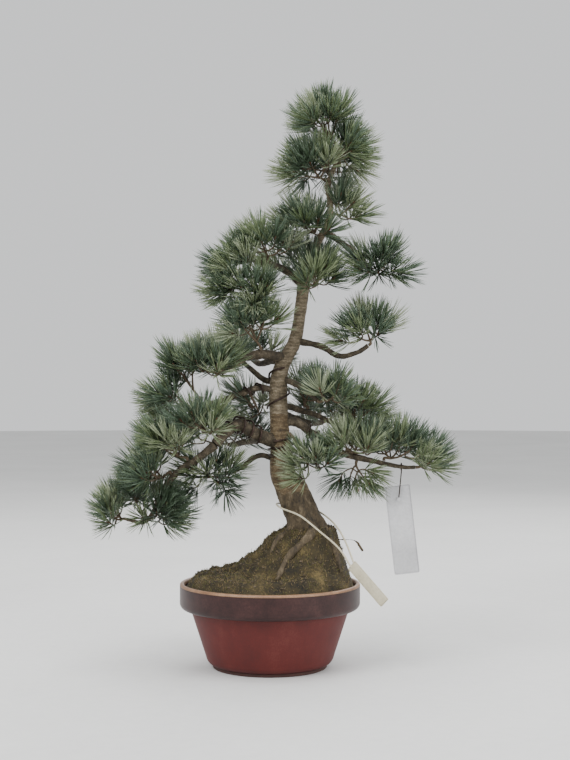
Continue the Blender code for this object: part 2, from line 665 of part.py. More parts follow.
class Shoot:
    """A twig that leaves the stem and ends in a brush of needles."""

    def __init__(self, mass, start, base, aim, rng):
        self.mass = mass
        self.name = mass
        self.aim = aim
        self.base = base
        self.site = base + aim * (CORE_LENGTH * SITE_SHARE)
        self.limb = Limb([start, base + aim * TWIG_OVERLAP], [TWIG_RADIUS, TWIG_TIP_RADIUS])
        self.turn = rng.uniform(0.0, math.tau)
        self.length = NEEDLE_LENGTH * rng.uniform(*NEEDLE_SPREAD)


def grow_mass(name, seed, limbs):
    """Stem and shoots of one mass, by a seeded rule that spreads the shoots evenly round the aim."""
    limb_name, share, center, spread, aim, fan, count = MASSES[name]
    rng = random.Random(seed)
    center = Vector(center)
    aim = Vector(aim).normalized()
    start, leave = side_start(limbs[limb_name], share, center)
    reach = (center - start).length
    hub = start.lerp(center, HUB_SHARE) - aim * min(HUB_DROP, reach * 0.3)
    stem = Limb([start, start + leave * COLLAR, hub], [STEM_RADIUS, STEM_RADIUS, TWIG_RADIUS])
    across = aim.cross(Vector(BASIS_HINT)).normalized()
    upward = aim.cross(across)
    phase = rng.uniform(0.0, math.tau)
    shoots = []
    for k in range(count):
        radial = math.sqrt((k + 0.5) / count)
        angle = phase + k * GOLDEN_ANGLE
        out = across * (radial * math.cos(angle)) + upward * (radial * math.sin(angle))
        offset = Vector([a * b for a, b in zip(out, spread)]) * SPREAD_FACTOR
        crown = aim * (sum(spread) / 3 * (0.5 - radial * radial))
        base = center + offset + crown
        sway = Vector([rng.uniform(-SWAY, SWAY) for _ in range(3)])
        shoots.append(Shoot(name, hub, base, (aim + out * fan + sway).normalized(), rng))
    return stem, shoots


def capsules_of(limb, owner, extra=0.0):
    pairs = zip(limb.line, limb.line[1:], limb.radii, limb.radii[1:])
    return [(first, second, max(a, b) + extra, owner) for first, second, a, b in pairs]


class Obstacles:
    """Capsules that needles and twigs keep clear of, each with the name of the piece it belongs to."""

    def __init__(self, capsules):
        self.firsts = np.array([capsule[0] for capsule in capsules])
        self.alongs = np.array([capsule[1] for capsule in capsules]) - self.firsts
        self.radii = np.array([capsule[2] for capsule in capsules])
        self.owners = np.array([capsule[3] for capsule in capsules])
        self.squares = np.maximum((self.alongs ** 2).sum(axis=1), 1e-12)

    def room(self, points, spared=()):
        """Distance from each point to the nearest capsule that isn't spared."""
        offsets = points[:, None, :] - self.firsts
        t = np.clip((offsets * self.alongs).sum(axis=2) / self.squares, 0.0, 1.0)
        apart = np.linalg.norm(offsets - t[:, :, None] * self.alongs, axis=2) - self.radii
        apart[:, np.isin(self.owners, spared)] = np.inf
        return apart.min(axis=1)


def samples_of(limb):
    points = []
    for first, second in zip(limb.line, limb.line[1:]):
        points += [first.lerp(second, t / 6) for t in range(7)]
    return np.array(points)


def clear_share(start, tip, width, sites, own, obstacles, spared):
    """The share of a needle, from its root, that stays in its own space and clear of every limb."""
    steps = np.linspace(0.05, 1.0, CLIP_STEPS)
    points = np.array(start) + steps[:, None] * (np.array(tip) - np.array(start))
    slack = width * (1 - steps) + NEEDLE_ROOM
    squares = ((points[:, None, :] - sites) ** 2).sum(axis=2)
    apart = np.linalg.norm(sites - sites[own], axis=1)
    apart[own] = 1.0
    margins = (squares - squares[:, own:own + 1]) / (2 * apart)
    margins[:, own] = np.inf
    room = np.minimum(margins.min(axis=1), obstacles.room(points, spared))
    blocked = np.nonzero(room < slack)[0]
    if not len(blocked):
        return 1.0
    return steps[blocked[0] - 1] if blocked[0] else 0.0


def brush(name, shoot, own, sites, obstacles, collection):
    """A slim core round the shoot's end, its faces poked out into needles that open towards the tip."""
    bm = bmesh.new()
    bmesh.ops.create_icosphere(bm, subdivisions=1, radius=1.0)
    turn = Vector((0.0, 0.0, 1.0)).rotation_difference(shoot.aim)
    local_across = turn @ Vector((math.cos(shoot.turn), math.sin(shoot.turn), 0.0))
    local_side = shoot.aim.cross(local_across)
    middle = shoot.base + shoot.aim * (CORE_LENGTH * 0.5)
    roots = {}
    for face in bm.faces:
        tilt = face.calc_center_median().normalized()
        lean = next((lean for floor, lean in NEEDLE_LEANS if tilt.z > floor), None)
        roots[face.index] = (tilt, lean)
    for vert in bm.verts:
        place = Vector((vert.co.x * CORE_RADIUS, vert.co.y * CORE_RADIUS, vert.co.z * CORE_LENGTH))
        vert.co = middle + local_across * place.x + local_side * place.y + shoot.aim * place.z
    tips = []
    for face in list(bm.faces):
        tilt, lean = roots[face.index]
        if lean is None:
            continue
        center = face.calc_center_median()
        heading = math.atan2(tilt.y, tilt.x)
        out = local_across * math.cos(heading) + local_side * math.sin(heading)
        way = shoot.aim * math.cos(lean) + out * math.sin(lean)
        tip = center + way * shoot.length
        share = clear_share(center, tip, CORE_RADIUS * 0.55, sites, own, obstacles, (shoot.name, shoot.mass))
        if share >= SHORTEST_SHARE:
            tips.append((face, center.lerp(tip, share)))
    for face, tip in tips:
        poked = bmesh.ops.poke(bm, faces=[face])
        poked["verts"][0].co = tip
    mesh = bpy.data.meshes.new(name)
    bm.to_mesh(mesh)
    bm.free()
    return add_object(name, mesh, collection, None)


def choose_shoots(limbs, plates):
    """Stems of all masses, and the shoots that touch no limb and no other mass."""
    solid = plates + [capsule for name, limb in limbs.items() for capsule in capsules_of(limb, name, GAP)]
    stems = {}
    shoots = []
    for k, name in enumerate(MASSES):
        stems[name], candidates = grow_mass(name, FIRST_SEED + k, limbs)
        for shoot in candidates:
            others = Obstacles(solid + [found for other in shoots for found in capsules_of(other.limb, other.mass, GAP)]
                               + [found for key, stem in stems.items() for found in capsules_of(stem, key, GAP)])
            crowded = any((other.site - shoot.site).length < CROWDING * CORE_RADIUS for other in shoots)
            touches = others.room(samples_of(shoot.limb), (name,)).min() < TWIG_RADIUS + GAP
            if not crowded and not touches:
                shoot.name = f"{name}_{len(shoots)}"
                shoots.append(shoot)
    return stems, shoots, solid


def make_masses(limbs, plates, collection, materials):
    stems, shoots, solid = choose_shoots(limbs, plates)
    sites = np.array([shoot.site for shoot in shoots])
    obstacles = Obstacles(solid + [found for shoot in shoots for found in capsules_of(shoot.limb, shoot.name, GAP)]
                          + [found for name, stem in stems.items() for found in capsules_of(stem, name, GAP)])
    for name in MASSES:
        pieces = [tube(name, stems[name], collection, None, sides=3)]
        for own, shoot in enumerate(shoots):
            if shoot.mass == name:
                pieces.append(tube(shoot.name + "_twig", shoot.limb, collection, None, sides=3))
                pieces.append(brush(shoot.name, shoot, own, sites, obstacles, collection))
        union_of(name, pieces, collection, materials["needle"], solver="MANIFOLD")


def coil(limb, start, end, turns, clearance):
    """A wire's path wound round a limb between two shares of its length."""
    count = int(turns * WIRE_TURN_POINTS) + 1
    line = []
    for k in range(count):
        t = k / (count - 1)
        center, along, radius = limb.at(start + (end - start) * t)
        side = along.cross(Vector((0.0, 1.0, 0.0))).normalized()
        back = along.cross(side)
        angle = turns * math.tau * t
        line.append(center + (side * math.cos(angle) + back * math.sin(angle)) * (radius + clearance))
    return line


def make_wires(limbs, collection, materials):
    for name, (limb_name, start, end, turns) in WIRES.items():
        line = coil(limbs[limb_name], start, end, turns, WIRE_RADIUS + WIRE_CLEARANCE)
        wire = Limb(line, [WIRE_RADIUS] * len(line))
        shade(tube(name, wire, collection, materials["wire"]))


def wire_capsules(limbs):
    found = []
    for limb_name, start, end, _ in WIRES.values():
        shares = [start + (end - start) * k / 8 for k in range(9)]
        places = [limbs[limb_name].at(share) for share in shares]
        for first, second in zip(places, places[1:]):
            found.append((first[0], second[0], max(first[2], second[2]) + 2 * WIRE_RADIUS + WIRE_ROOM, "wire"))
    return found


def make_hang_tag(limbs, collection, cutters, materials):
    """A thin plate with a hole, and a wire that rounds the bough and hooks through the hole."""
    top = Vector(TAG_TOP)
    down = Vector((-math.sin(TAG_LEAN), 0.0, -math.cos(TAG_LEAN)))
    middle = top + down * (TAG_HEIGHT / 2)
    mesh = bpy.data.meshes.new("hang_tag")
    bm = bmesh.new()
    bmesh.ops.create_cube(bm, size=1.0)
    for vert in bm.verts:
        vert.co.x *= TAG_WIDTH
        vert.co.y *= TAG_THICKNESS
        vert.co.z *= TAG_HEIGHT
    bm.to_mesh(mesh)
    bm.free()
    tag = add_object("hang_tag", mesh, collection, materials["plate"])
    tag.location = middle
    tag.rotation_euler = (0.0, TAG_LEAN, 0.0)
    hole_mesh = bpy.data.meshes.new("tag_hole")
    bm = bmesh.new()
    bmesh.ops.create_cone(bm, cap_ends=True, segments=12, radius1=TAG_HOLE_RADIUS, radius2=TAG_HOLE_RADIUS, depth=0.01)
    bm.to_mesh(hole_mesh)
    bm.free()
    hole = as_helper(add_object("tag_hole", hole_mesh, cutters, None))
    eye = top + down * TAG_HOLE_DROP
    hole.location = eye
    hole.rotation_euler = (math.pi / 2, 0.0, 0.0)
    cut(tag, hole)
    center, along, radius = limbs["bough_right_low"].at(TAG_SHARE)
    round_radius = radius + TAG_WIRE_RADIUS + 0.0012
    side = along.cross(Vector((0.0, 0.0, 1.0))).normalized()
    line = []
    for k in range(9):
        angle = math.radians(-60 + 275 * k / 8)
        line.append(center + side * (round_radius * math.sin(angle) * -1) + Vector((0, 0, 1)) *
                    (round_radius * math.cos(angle)))
    front = eye + Vector((0.0, -0.004, 0.003))
    line.append(line[-1].lerp(front, 0.35) + Vector((0.0, -0.001, 0.0)))
    line.append(line[-2].lerp(front, 0.75) + Vector((0.0, -0.001, 0.0)))
    line += [front, eye, eye + Vector((0.0, 0.003, 0.0015)), eye + Vector((0.0, 0.003, 0.008))]
    wire = Limb(line, [TAG_WIRE_RADIUS] * len(line))
    shade(tube("tag_wire", wire, collection, materials["wire"]))
    corners = [top + Vector((step * TAG_WIDTH / 2, 0.0, 0.0)) for step in (-0.8, 0.0, 0.8)]
    plates = [(corner, corner + down * TAG_HEIGHT, 0.008, "hang_tag") for corner in corners]
    return plates + capsules_of(wire, "tag_wire", 0.001)


def make_label(trunk, collection, materials):
    """A plastic strip that leans over the rim, and the band that runs from it round the trunk and back."""
    top, foot = Vector(LABEL_TOP), Vector(LABEL_FOOT)
    down = (foot - top).normalized()
    mesh = bpy.data.meshes.new("trunk_label")
    bm = bmesh.new()
    bmesh.ops.create_cube(bm, size=1.0)
    across = down.cross(Vector((0.35, 1.0, 0.25))).normalized()
    face = across.cross(down)
    middle = top + down * (LABEL_LENGTH / 2)
    for vert in bm.verts:
        vert.co = (middle + across * (vert.co.x * LABEL_WIDTH) + face * (vert.co.y * LABEL_THICKNESS)
                   + down * (vert.co.z * LABEL_LENGTH))
    bmesh.ops.recalc_face_normals(bm, faces=bm.faces)
    bm.to_mesh(mesh)
    bm.free()
    strip = add_object("label_strip", mesh, collection, materials["label"])
    ring = []
    heights = (0.212, 0.216, 0.214, 0.208, 0.202)
    angles = (215, 165, 110, 55, 10)
    for angle, height in zip(angles, heights):
        center, radius = trunk_at_height(trunk, height)
        reach = radius * 1.12 + BAND_RADIUS + 0.0024
        turn = math.radians(angle)
        ring.append(center + Vector((math.cos(turn), math.sin(turn), 0.0)) * reach)
    end_a = top - across * 0.003 + down * 0.003
    end_b = top + across * 0.003 + down * 0.003
    front = [end_a, Vector((0.090, -0.055, 0.163)), Vector((0.066, -0.041, 0.183)), Vector((0.040, -0.032, 0.203))]
    rear = [Vector((0.086, -0.012, 0.190)), Vector((0.098, -0.030, 0.172)), end_b]
    line = smooth_line(front + ring + rear, 2)
    band = tube("label_band", Limb(line, [BAND_RADIUS] * len(line)), collection, materials["label"])
    shade(union_of("trunk_label", [strip, band], collection, materials["label"]))


def trunk_at_height(trunk, height):
    k = next(k for k, point in enumerate(trunk.line) if point.z > height)
    low, high = trunk.line[k - 1], trunk.line[k]
    t = (height - low.z) / (high.z - low.z)
    return low.lerp(high, t), trunk.radii[k - 1] + t * (trunk.radii[k] - trunk.radii[k - 1])


def main():
    clear_scene()
    parts = new_collection("white_pine_bonsai")
    cutters = new_collection("cutters")
    materials = {name: make_material(name) for name in COLORS}
    make_pot(parts, materials)
    trunk = trunk_limb()
    _, stem_cutter, soil_cutter = make_trunk(trunk, parts, cutters, materials)
    make_soil(parts, materials, soil_cutter)
    limbs = make_boughs(trunk, stem_cutter, parts, cutters, materials)
    make_wires(limbs, parts, materials)
    plates = make_hang_tag(limbs, parts, cutters, materials)
    make_label(trunk, parts, materials)
    make_masses(limbs, wire_capsules(limbs) + plates, parts, materials)


main()
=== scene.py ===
# %% [markdown]
# # A potted Japanese white pine, seen closely
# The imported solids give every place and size. Each step below dresses some of them: the pot, the mound, the
# trunk and boughs with their bark, the twigs and needles, the wires and the two blank labels.

# %% Load the frame
import math
import random

import bmesh
import bpy
import numpy as np
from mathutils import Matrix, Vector, noise


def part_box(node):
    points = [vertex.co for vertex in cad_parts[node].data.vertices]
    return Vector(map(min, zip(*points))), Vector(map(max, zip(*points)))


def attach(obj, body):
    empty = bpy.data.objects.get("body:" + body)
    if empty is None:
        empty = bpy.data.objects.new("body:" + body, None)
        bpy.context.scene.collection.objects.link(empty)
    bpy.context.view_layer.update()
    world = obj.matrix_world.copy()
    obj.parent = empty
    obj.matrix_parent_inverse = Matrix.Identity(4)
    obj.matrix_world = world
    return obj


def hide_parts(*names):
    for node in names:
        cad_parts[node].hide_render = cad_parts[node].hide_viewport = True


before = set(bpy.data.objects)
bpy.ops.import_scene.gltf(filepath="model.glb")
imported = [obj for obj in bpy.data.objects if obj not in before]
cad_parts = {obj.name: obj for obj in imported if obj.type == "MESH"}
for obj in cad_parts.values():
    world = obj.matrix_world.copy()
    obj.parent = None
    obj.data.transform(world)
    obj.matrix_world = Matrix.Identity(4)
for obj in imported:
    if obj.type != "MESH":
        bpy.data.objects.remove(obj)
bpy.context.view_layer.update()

# %% [markdown]
# ## Camera, light and floor
# The view is level with the middle of the tree, from about two metres. A level camera with a short telephoto
# lens gives the same perspective. Soft area lights stand for an overcast day, on a pale plain floor.

# %% Camera
CAMERA_PLACE = (0.020, -1.900, 0.3813)
CAMERA_LENS = 67.5
SENSOR_WIDTH = 36.0

camera_data = bpy.data.cameras.new("camera")
camera_data.lens = CAMERA_LENS
camera_data.sensor_width = SENSOR_WIDTH
camera = bpy.data.objects.new("camera", camera_data)
camera.location = CAMERA_PLACE
camera.rotation_euler = (math.pi / 2, 0.0, 0.0)
bpy.context.scene.collection.objects.link(camera)
bpy.context.scene.camera = camera
print("camera at", CAMERA_PLACE)

# %% Lights
LIGHTS = {
    "key": ((-1.6, -1.9, 2.2), 1.6, 78.0),
    "fill": ((1.9, -1.4, 1.2), 1.8, 40.0),
    "back": ((0.6, 1.9, 1.9), 1.8, 34.0),
    "top": ((0.0, -0.1, 2.6), 2.0, 52.0),
}
AIM_POINT = Vector((0.0, 0.0, 0.35))
SKY_COLOR = (0.92, 0.93, 0.94, 1.0)
SKY_STRENGTH = 1.0

for light_name, (place, size, power) in LIGHTS.items():
    light_data = bpy.data.lights.new(light_name, "AREA")
    light_data.size = size
    light_data.energy = power
    light = bpy.data.objects.new(light_name, light_data)
    light.location = place
    light.rotation_euler = (AIM_POINT - Vector(place)).to_track_quat("-Z", "Y").to_euler()
    bpy.context.scene.collection.objects.link(light)

world = bpy.data.worlds.new("studio")
world.use_nodes = True
world.node_tree.nodes["Background"].inputs["Color"].default_value = SKY_COLOR
world.node_tree.nodes["Background"].inputs["Strength"].default_value = SKY_STRENGTH
bpy.context.scene.world = world
print(len(LIGHTS), "lights")

# %% [markdown]
# ## Materials
# Bark, clay, glaze, moss and soil all vary from spot to spot. One node group does that for each: it mixes
# three colours by two scales of noise and gives a height for the bump. An image could do the same, but noise
# stays sharp up close. The needles are plain, one tint for each piece, so that the tint changes by brush.


# %% Pattern groups
FINE_SHARE = 0.45
BROAD_SHARE = 0.9
BROAD_SHIFT = -0.18
BAND_SHARE = 0.11
RAMP_PLACES = (0.30, 0.54, 0.78)


def pattern_group(name, colors, coarse, fine, stretch=1.0, bands=0.0):
    """Colour, height and grain from noise at two scales, with level bands mixed in if asked for."""
    group = bpy.data.node_groups.new(name, "ShaderNodeTree")
    group.interface.new_socket("Vector", in_out="INPUT", socket_type="NodeSocketVector")
    for socket, kind in (("Color", "Color"), ("Height", "Float"), ("Grain", "Float")):
        group.interface.new_socket(socket, in_out="OUTPUT", socket_type="NodeSocket" + kind)
    nodes, links = group.nodes, group.links
    entry = nodes.new("NodeGroupInput")
    leave = nodes.new("NodeGroupOutput")
    mapping = nodes.new("ShaderNodeMapping")
    mapping.inputs["Scale"].default_value = (1.0, 1.0, stretch)
    links.new(entry.outputs["Vector"], mapping.inputs["Vector"])

    def texture(kind, source, values):
        node = nodes.new("ShaderNodeTex" + kind)
        links.new(source, node.inputs["Vector"])
        for socket, value in values.items():
            node.inputs[socket].default_value = value
        return node

    def scaled(source, factor, addend):
        """source * factor + addend, where addend is a number or another node's output."""
        step = nodes.new("ShaderNodeMath")
        step.operation = "MULTIPLY_ADD"
        step.inputs[1].default_value = factor
        links.new(source, step.inputs[0])
        if isinstance(addend, float):
            step.inputs[2].default_value = addend
        else:
            links.new(addend, step.inputs[2])
        return step.outputs[0]

    spots = mapping.outputs["Vector"]
    broad = texture("Noise", spots, {"Scale": coarse, "Detail": 6.0, "Roughness": 0.62})
    tight = texture("Noise", spots, {"Scale": fine, "Detail": 4.0})
    height = scaled(tight.outputs["Fac"], FINE_SHARE, scaled(broad.outputs["Fac"], BROAD_SHARE, BROAD_SHIFT))
    if bands:
        wave = texture("Wave", entry.outputs["Vector"],
                       {"Scale": bands, "Distortion": 6.0, "Detail": 3.0, "Detail Scale": 1.6})
        wave.bands_direction = "Z"
        height = scaled(wave.outputs["Fac"], BAND_SHARE, height)
    ramp = nodes.new("ShaderNodeValToRGB")
    stops = ramp.color_ramp.elements
    stops[0].position, stops[1].position = RAMP_PLACES[0], RAMP_PLACES[2]
    stops[0].color, stops[1].color = (*colors[0], 1.0), (*colors[2], 1.0)
    stops.new(RAMP_PLACES[1]).color = (*colors[1], 1.0)
    links.new(height, ramp.inputs["Fac"])
    links.new(ramp.outputs["Color"], leave.inputs["Color"])
    links.new(height, leave.inputs["Height"])
    links.new(tight.outputs["Fac"], leave.inputs["Grain"])
    return group


def patterned(name, colors, coarse, fine, rough, bump, distance, metallic=0.0, stretch=1.0, bands=0.0,
              shine=0.5):
    """A material whose colour, roughness and bump follow one pattern group."""
    material = bpy.data.materials.new(name)
    material.use_nodes = True
    nodes, links = material.node_tree.nodes, material.node_tree.links
    shader = nodes["Principled BSDF"]
    shader.inputs["Metallic"].default_value = metallic
    shader.inputs["Specular IOR Level"].default_value = shine
    place = nodes.new("ShaderNodeTexCoord")
    pattern = nodes.new("ShaderNodeGroup")
    pattern.node_tree = pattern_group(name + "_pattern", colors, coarse, fine, stretch, bands)
    links.new(place.outputs["Object"], pattern.inputs["Vector"])
    links.new(pattern.outputs["Color"], shader.inputs["Base Color"])
    span = nodes.new("ShaderNodeMapRange")
    span.inputs["To Min"].default_value = rough[0]
    span.inputs["To Max"].default_value = rough[1]
    links.new(pattern.outputs["Grain"], span.inputs["Value"])
    links.new(span.outputs["Result"], shader.inputs["Roughness"])
    relief = nodes.new("ShaderNodeBump")
    relief.inputs["Strength"].default_value = bump
    relief.inputs["Distance"].default_value = distance
    links.new(pattern.outputs["Height"], relief.inputs["Height"])
    links.new(relief.outputs["Normal"], shader.inputs["Normal"])
    return material


def plain(name, color, roughness, metallic=0.0):
    material = bpy.data.materials.new(name)
    material.use_nodes = True
    shader = material.node_tree.nodes["Principled BSDF"]
    shader.inputs["Base Color"].default_value = (*color, 1.0)
    shader.inputs["Roughness"].default_value = roughness
    shader.inputs["Metallic"].default_value = metallic
    return material


# %% All materials
glaze = patterned("glaze", ((0.016, 0.006, 0.006), (0.032, 0.012, 0.011), (0.058, 0.023, 0.020)),
                  38.0, 420.0, (0.34, 0.46), 0.10, 0.0003, shine=0.28)
clay = patterned("clay", ((0.062, 0.010, 0.009), (0.088, 0.012, 0.010), (0.118, 0.028, 0.022)),
                 26.0, 700.0, (0.50, 0.66), 0.18, 0.0003, stretch=0.6, shine=0.3)
lip_clay = patterned("lip_clay", ((0.150, 0.075, 0.040), (0.225, 0.120, 0.062), (0.330, 0.200, 0.115)),
                     60.0, 500.0, (0.35, 0.55), 0.15, 0.0003)
foot_clay = patterned("foot_clay", ((0.030, 0.010, 0.008), (0.046, 0.014, 0.009), (0.070, 0.024, 0.016)),
                      40.0, 500.0, (0.6, 0.8), 0.15, 0.0003)
bark_low = patterned("bark_low", ((0.014, 0.010, 0.005), (0.070, 0.050, 0.026), (0.190, 0.150, 0.095)),
                     95.0, 420.0, (0.75, 0.95), 0.9, 0.0016, stretch=0.55)
bark_middle = patterned("bark_middle", ((0.022, 0.015, 0.006), (0.092, 0.060, 0.027), (0.210, 0.165, 0.095)),
                        85.0, 380.0, (0.65, 0.9), 0.7, 0.0010, stretch=2.2, bands=55.0)
bark_high = patterned("bark_high", ((0.034, 0.026, 0.014), (0.120, 0.092, 0.054), (0.260, 0.215, 0.150)),
                      90.0, 420.0, (0.65, 0.9), 0.6, 0.0008, stretch=1.8, bands=70.0)
bough_bark = patterned("bough_bark", ((0.010, 0.007, 0.003), (0.055, 0.041, 0.023), (0.175, 0.140, 0.095)),
                       110.0, 480.0, (0.7, 0.95), 0.8, 0.0009)
moss = patterned("moss", ((0.004, 0.003, 0.001), (0.040, 0.029, 0.009), (0.165, 0.120, 0.045)),
                 34.0, 420.0, (0.85, 1.0), 0.9, 0.0016)
root_bark = patterned("root_bark", ((0.020, 0.012, 0.006), (0.080, 0.058, 0.034), (0.170, 0.130, 0.085)),
                      120.0, 500.0, (0.7, 0.9), 0.8, 0.0008)
wire_metal = patterned("wire_metal", ((0.020, 0.012, 0.009), (0.036, 0.021, 0.015), (0.060, 0.036, 0.026)),
                       120.0, 600.0, (0.34, 0.5), 0.05, 0.0001, metallic=0.6)
plate_face = patterned("plate_face", ((0.40, 0.40, 0.41), (0.50, 0.50, 0.51), (0.60, 0.60, 0.61)),
                       14.0, 300.0, (0.32, 0.46), 0.04, 0.0001)
label_face = patterned("label_face", ((0.42, 0.38, 0.27), (0.56, 0.51, 0.37), (0.66, 0.62, 0.50)),
                       22.0, 320.0, (0.38, 0.55), 0.05, 0.0001)
floor_face = patterned("floor_face", ((0.60, 0.60, 0.59), (0.64, 0.64, 0.63), (0.68, 0.68, 0.67)),
                       2.0, 60.0, (0.75, 0.9), 0.02, 0.0002)
NEEDLE_TINTS = {
    "deep": ((0.040, 0.066, 0.034), 0.45),
    "blue": ((0.082, 0.122, 0.078), 0.42),
    "green": ((0.110, 0.150, 0.066), 0.44),
    "pale": ((0.200, 0.240, 0.130), 0.44),
    "bright": ((0.300, 0.340, 0.225), 0.46),
}
tint_materials = {tint: plain("needle_" + tint, *values) for tint, values in NEEDLE_TINTS.items()}
bud_skin = plain("bud_skin", (0.150, 0.062, 0.028), 0.55)
twig_skin = plain("twig_skin", (0.085, 0.060, 0.034), 0.80)
moss_leaf = plain("moss_leaf", (0.105, 0.098, 0.028), 0.9)
moss_dry = plain("moss_dry", (0.190, 0.135, 0.062), 0.9)
print(len(bpy.data.materials), "materials")


# %% [markdown]
# ## Shared shape tools
# Limbs are centre lines with a thickness at each point, read from a smooth curve. Tubes are rings of points
# joined by faces, and many small ones are joined into one mesh from arrays.


# %% Mesh helpers
def stand_for(piece, slot, *nodes):
    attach(piece, "root")
    if nodes:
        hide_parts(*nodes)
    return piece


def mesh_piece(name, mesh, material, smooth=True):
    """Puts a mesh in the scene as an object with its material."""
    mesh.materials.append(material)
    if smooth:
        mesh.shade_smooth()
    piece = bpy.data.objects.new(name, mesh)
    bpy.context.scene.collection.objects.link(piece)
    return piece


def face_piece(name, points, faces, material, smooth=True):
    """An object from a list of points and a list of faces."""
    mesh = bpy.data.meshes.new(name)
    mesh.from_pydata([tuple(point) for point in points], [], faces)
    return mesh_piece(name, mesh, material, smooth)


def array_piece(name, points, triangles, material):
    """An object from long arrays of points and triangles."""
    mesh = bpy.data.meshes.new(name)
    mesh.vertices.add(len(points))
    mesh.vertices.foreach_set("co", np.ascontiguousarray(points, dtype=np.float32).ravel())
    mesh.loops.add(len(triangles) * 3)
    mesh.loops.foreach_set("vertex_index", np.ascontiguousarray(triangles, dtype=np.int32).ravel())
    mesh.polygons.add(len(triangles))
    mesh.polygons.foreach_set("loop_start", np.arange(0, len(triangles) * 3, 3, dtype=np.int32))
    mesh.update(calc_edges=True)
    mesh.validate()
    return mesh_piece(name, mesh, material)


def smooth_line(points, steps):
    """Points of a Catmull-Rom curve through the given ones, with any further columns carried along."""
    rows = [Vector(point) for point in points]
    rows = [rows[0] * 2 - rows[1]] + rows + [rows[-1] * 2 - rows[-2]]
    line = []
    for a, b, c, d in zip(rows, rows[1:], rows[2:], rows[3:]):
        for step in range(steps):
            t = step / steps
            line.append(0.5 * (2 * b + (c - a) * t + (2 * a - 5 * b + 4 * c - d) * t * t
                               + (3 * b - a - 3 * c + d) * t ** 3))
    line.append(rows[-2])
    return line


def lengths_along(line):
    total = [0.0]
    for first, second in zip(line, line[1:]):
        total.append(total[-1] + (second - first).length)
    return total


class Limb:
    """A centre line with a radius at each of its points."""

    def __init__(self, line, radii):
        self.line = line
        self.radii = radii
        self.lengths = lengths_along(line)

    def at(self, share):
        wanted = share * self.lengths[-1]
        k = 0
        while k < len(self.line) - 2 and self.lengths[k + 1] < wanted:
            k += 1
        t = (wanted - self.lengths[k]) / (self.lengths[k + 1] - self.lengths[k])
        center = self.line[k].lerp(self.line[k + 1], t)
        direction = (self.line[k + 1] - self.line[k]).normalized()
        return center, direction, self.radii[k] + t * (self.radii[k + 1] - self.radii[k])


def tapered_limb(points, first_radius, last_radius, steps):
    line = smooth_line([Vector(point) for point in points], steps)
    lengths = lengths_along(line)
    radii = [first_radius + (last_radius - first_radius) * length / lengths[-1] for length in lengths]
    return Limb(line, radii)


def tube_arrays(line, radii, sides, relief=None):
    """Points and faces of a closed tube along a line. relief gives what a point's radius is multiplied by."""
    points = []
    side = None
    for k, center in enumerate(line):
        along = (line[min(k + 1, len(line) - 1)] - line[max(k - 1, 0)]).normalized()
        if side is None:
            side = along.orthogonal().normalized()
        side = (side - along * side.dot(along)).normalized()
        back = along.cross(side)
        for j in range(sides):
            angle = math.tau * j / sides
            out = side * math.cos(angle) + back * math.sin(angle)
            radius = radii[k]
            if relief is not None:
                radius *= relief(center + out * radius, angle)
            points.append(center + out * radius)
    faces = []
    for k in range(len(line) - 1):
        for j in range(sides):
            a, b = k * sides + j, k * sides + (j + 1) % sides
            faces.append((a, b, b + sides, a + sides))
    last = (len(line) - 1) * sides
    points += [line[0], line[-1]]
    for j in range(sides):
        after = (j + 1) % sides
        faces.append((after, j, len(points) - 2))
        faces.append((last + j, last + after, len(points) - 1))
    return points, faces


def joined_tubes(name, tubes, material):
    """Many closed tubes as one mesh."""
    points, faces = [], []
    for more_points, more_faces in tubes:
        start = len(points)
        points += more_points
        faces += [tuple(start + corner for corner in face) for face in more_faces]
    return face_piece(name, points, faces, material)


print("tools ready")

# %% [markdown]
# ## Pot
# A thrown training pot: a dark glazed band over a matte red-brown body that narrows to a foot, and an
# unglazed orange-tan lip. By hand it would be a circle, extruded up ring after ring and scaled to the
# profile, and the code does that. Lip, band, body and foot are apart, because each has its own surface.

# %% Pot sizes
POT_RIM_RADIUS = 0.120
POT_HEIGHT = 0.112
POT_BAND_HEIGHT = 0.034
POT_BAND_ROUND = 0.008
POT_BODY_TOP_RADIUS = 0.1050
POT_BODY_LOW_RADIUS = 0.0850
POT_FOOT_RADIUS = 0.076
POT_FOOT_HEIGHT = 0.004
POT_CORNER = 0.012
POT_LIP = 0.006
POT_WALL = 0.0065
POT_SIDES = 128
BAND_LOW = POT_HEIGHT - POT_BAND_HEIGHT


def arc(center_x, center_z, radius, start, end, steps):
    points = []
    for k in range(steps + 1):
        angle = math.radians(start + (end - start) * k / steps)
        points.append((center_x + radius * math.cos(angle), center_z + radius * math.sin(angle)))
    return points


def turned(name, profile, material, sides=POT_SIDES):
    """A ring turned from a closed profile: a circle, extruded and scaled from corner to corner."""
    bpy.ops.object.select_all(action="DESELECT")
    first_radius, first_height = profile[0]
    bpy.ops.mesh.primitive_circle_add(vertices=sides, radius=first_radius, location=(0.0, 0.0, 0.0))
    piece = bpy.context.active_object
    piece.name = name
    bpy.ops.object.mode_set(mode="EDIT")
    bpy.ops.mesh.select_all(action="SELECT")
    bpy.ops.transform.translate(value=(0.0, 0.0, first_height))
    for (radius, height), (wide, high) in zip(profile, profile[1:] + profile[:1]):
        bpy.ops.mesh.extrude_region_move(TRANSFORM_OT_translate={"value": (0.0, 0.0, high - height)})
        bpy.ops.transform.resize(value=(wide / radius, wide / radius, 1.0), center_override=(0.0, 0.0, high))
    bpy.ops.mesh.select_all(action="SELECT")
    bpy.ops.mesh.remove_doubles(threshold=0.00001)
    bpy.ops.mesh.normals_make_consistent(inside=False)
    bpy.ops.object.mode_set(mode="OBJECT")
    bpy.ops.object.shade_smooth_by_angle(angle=math.radians(40))
    piece.data.materials.clear()
    piece.data.materials.append(material)
    return piece


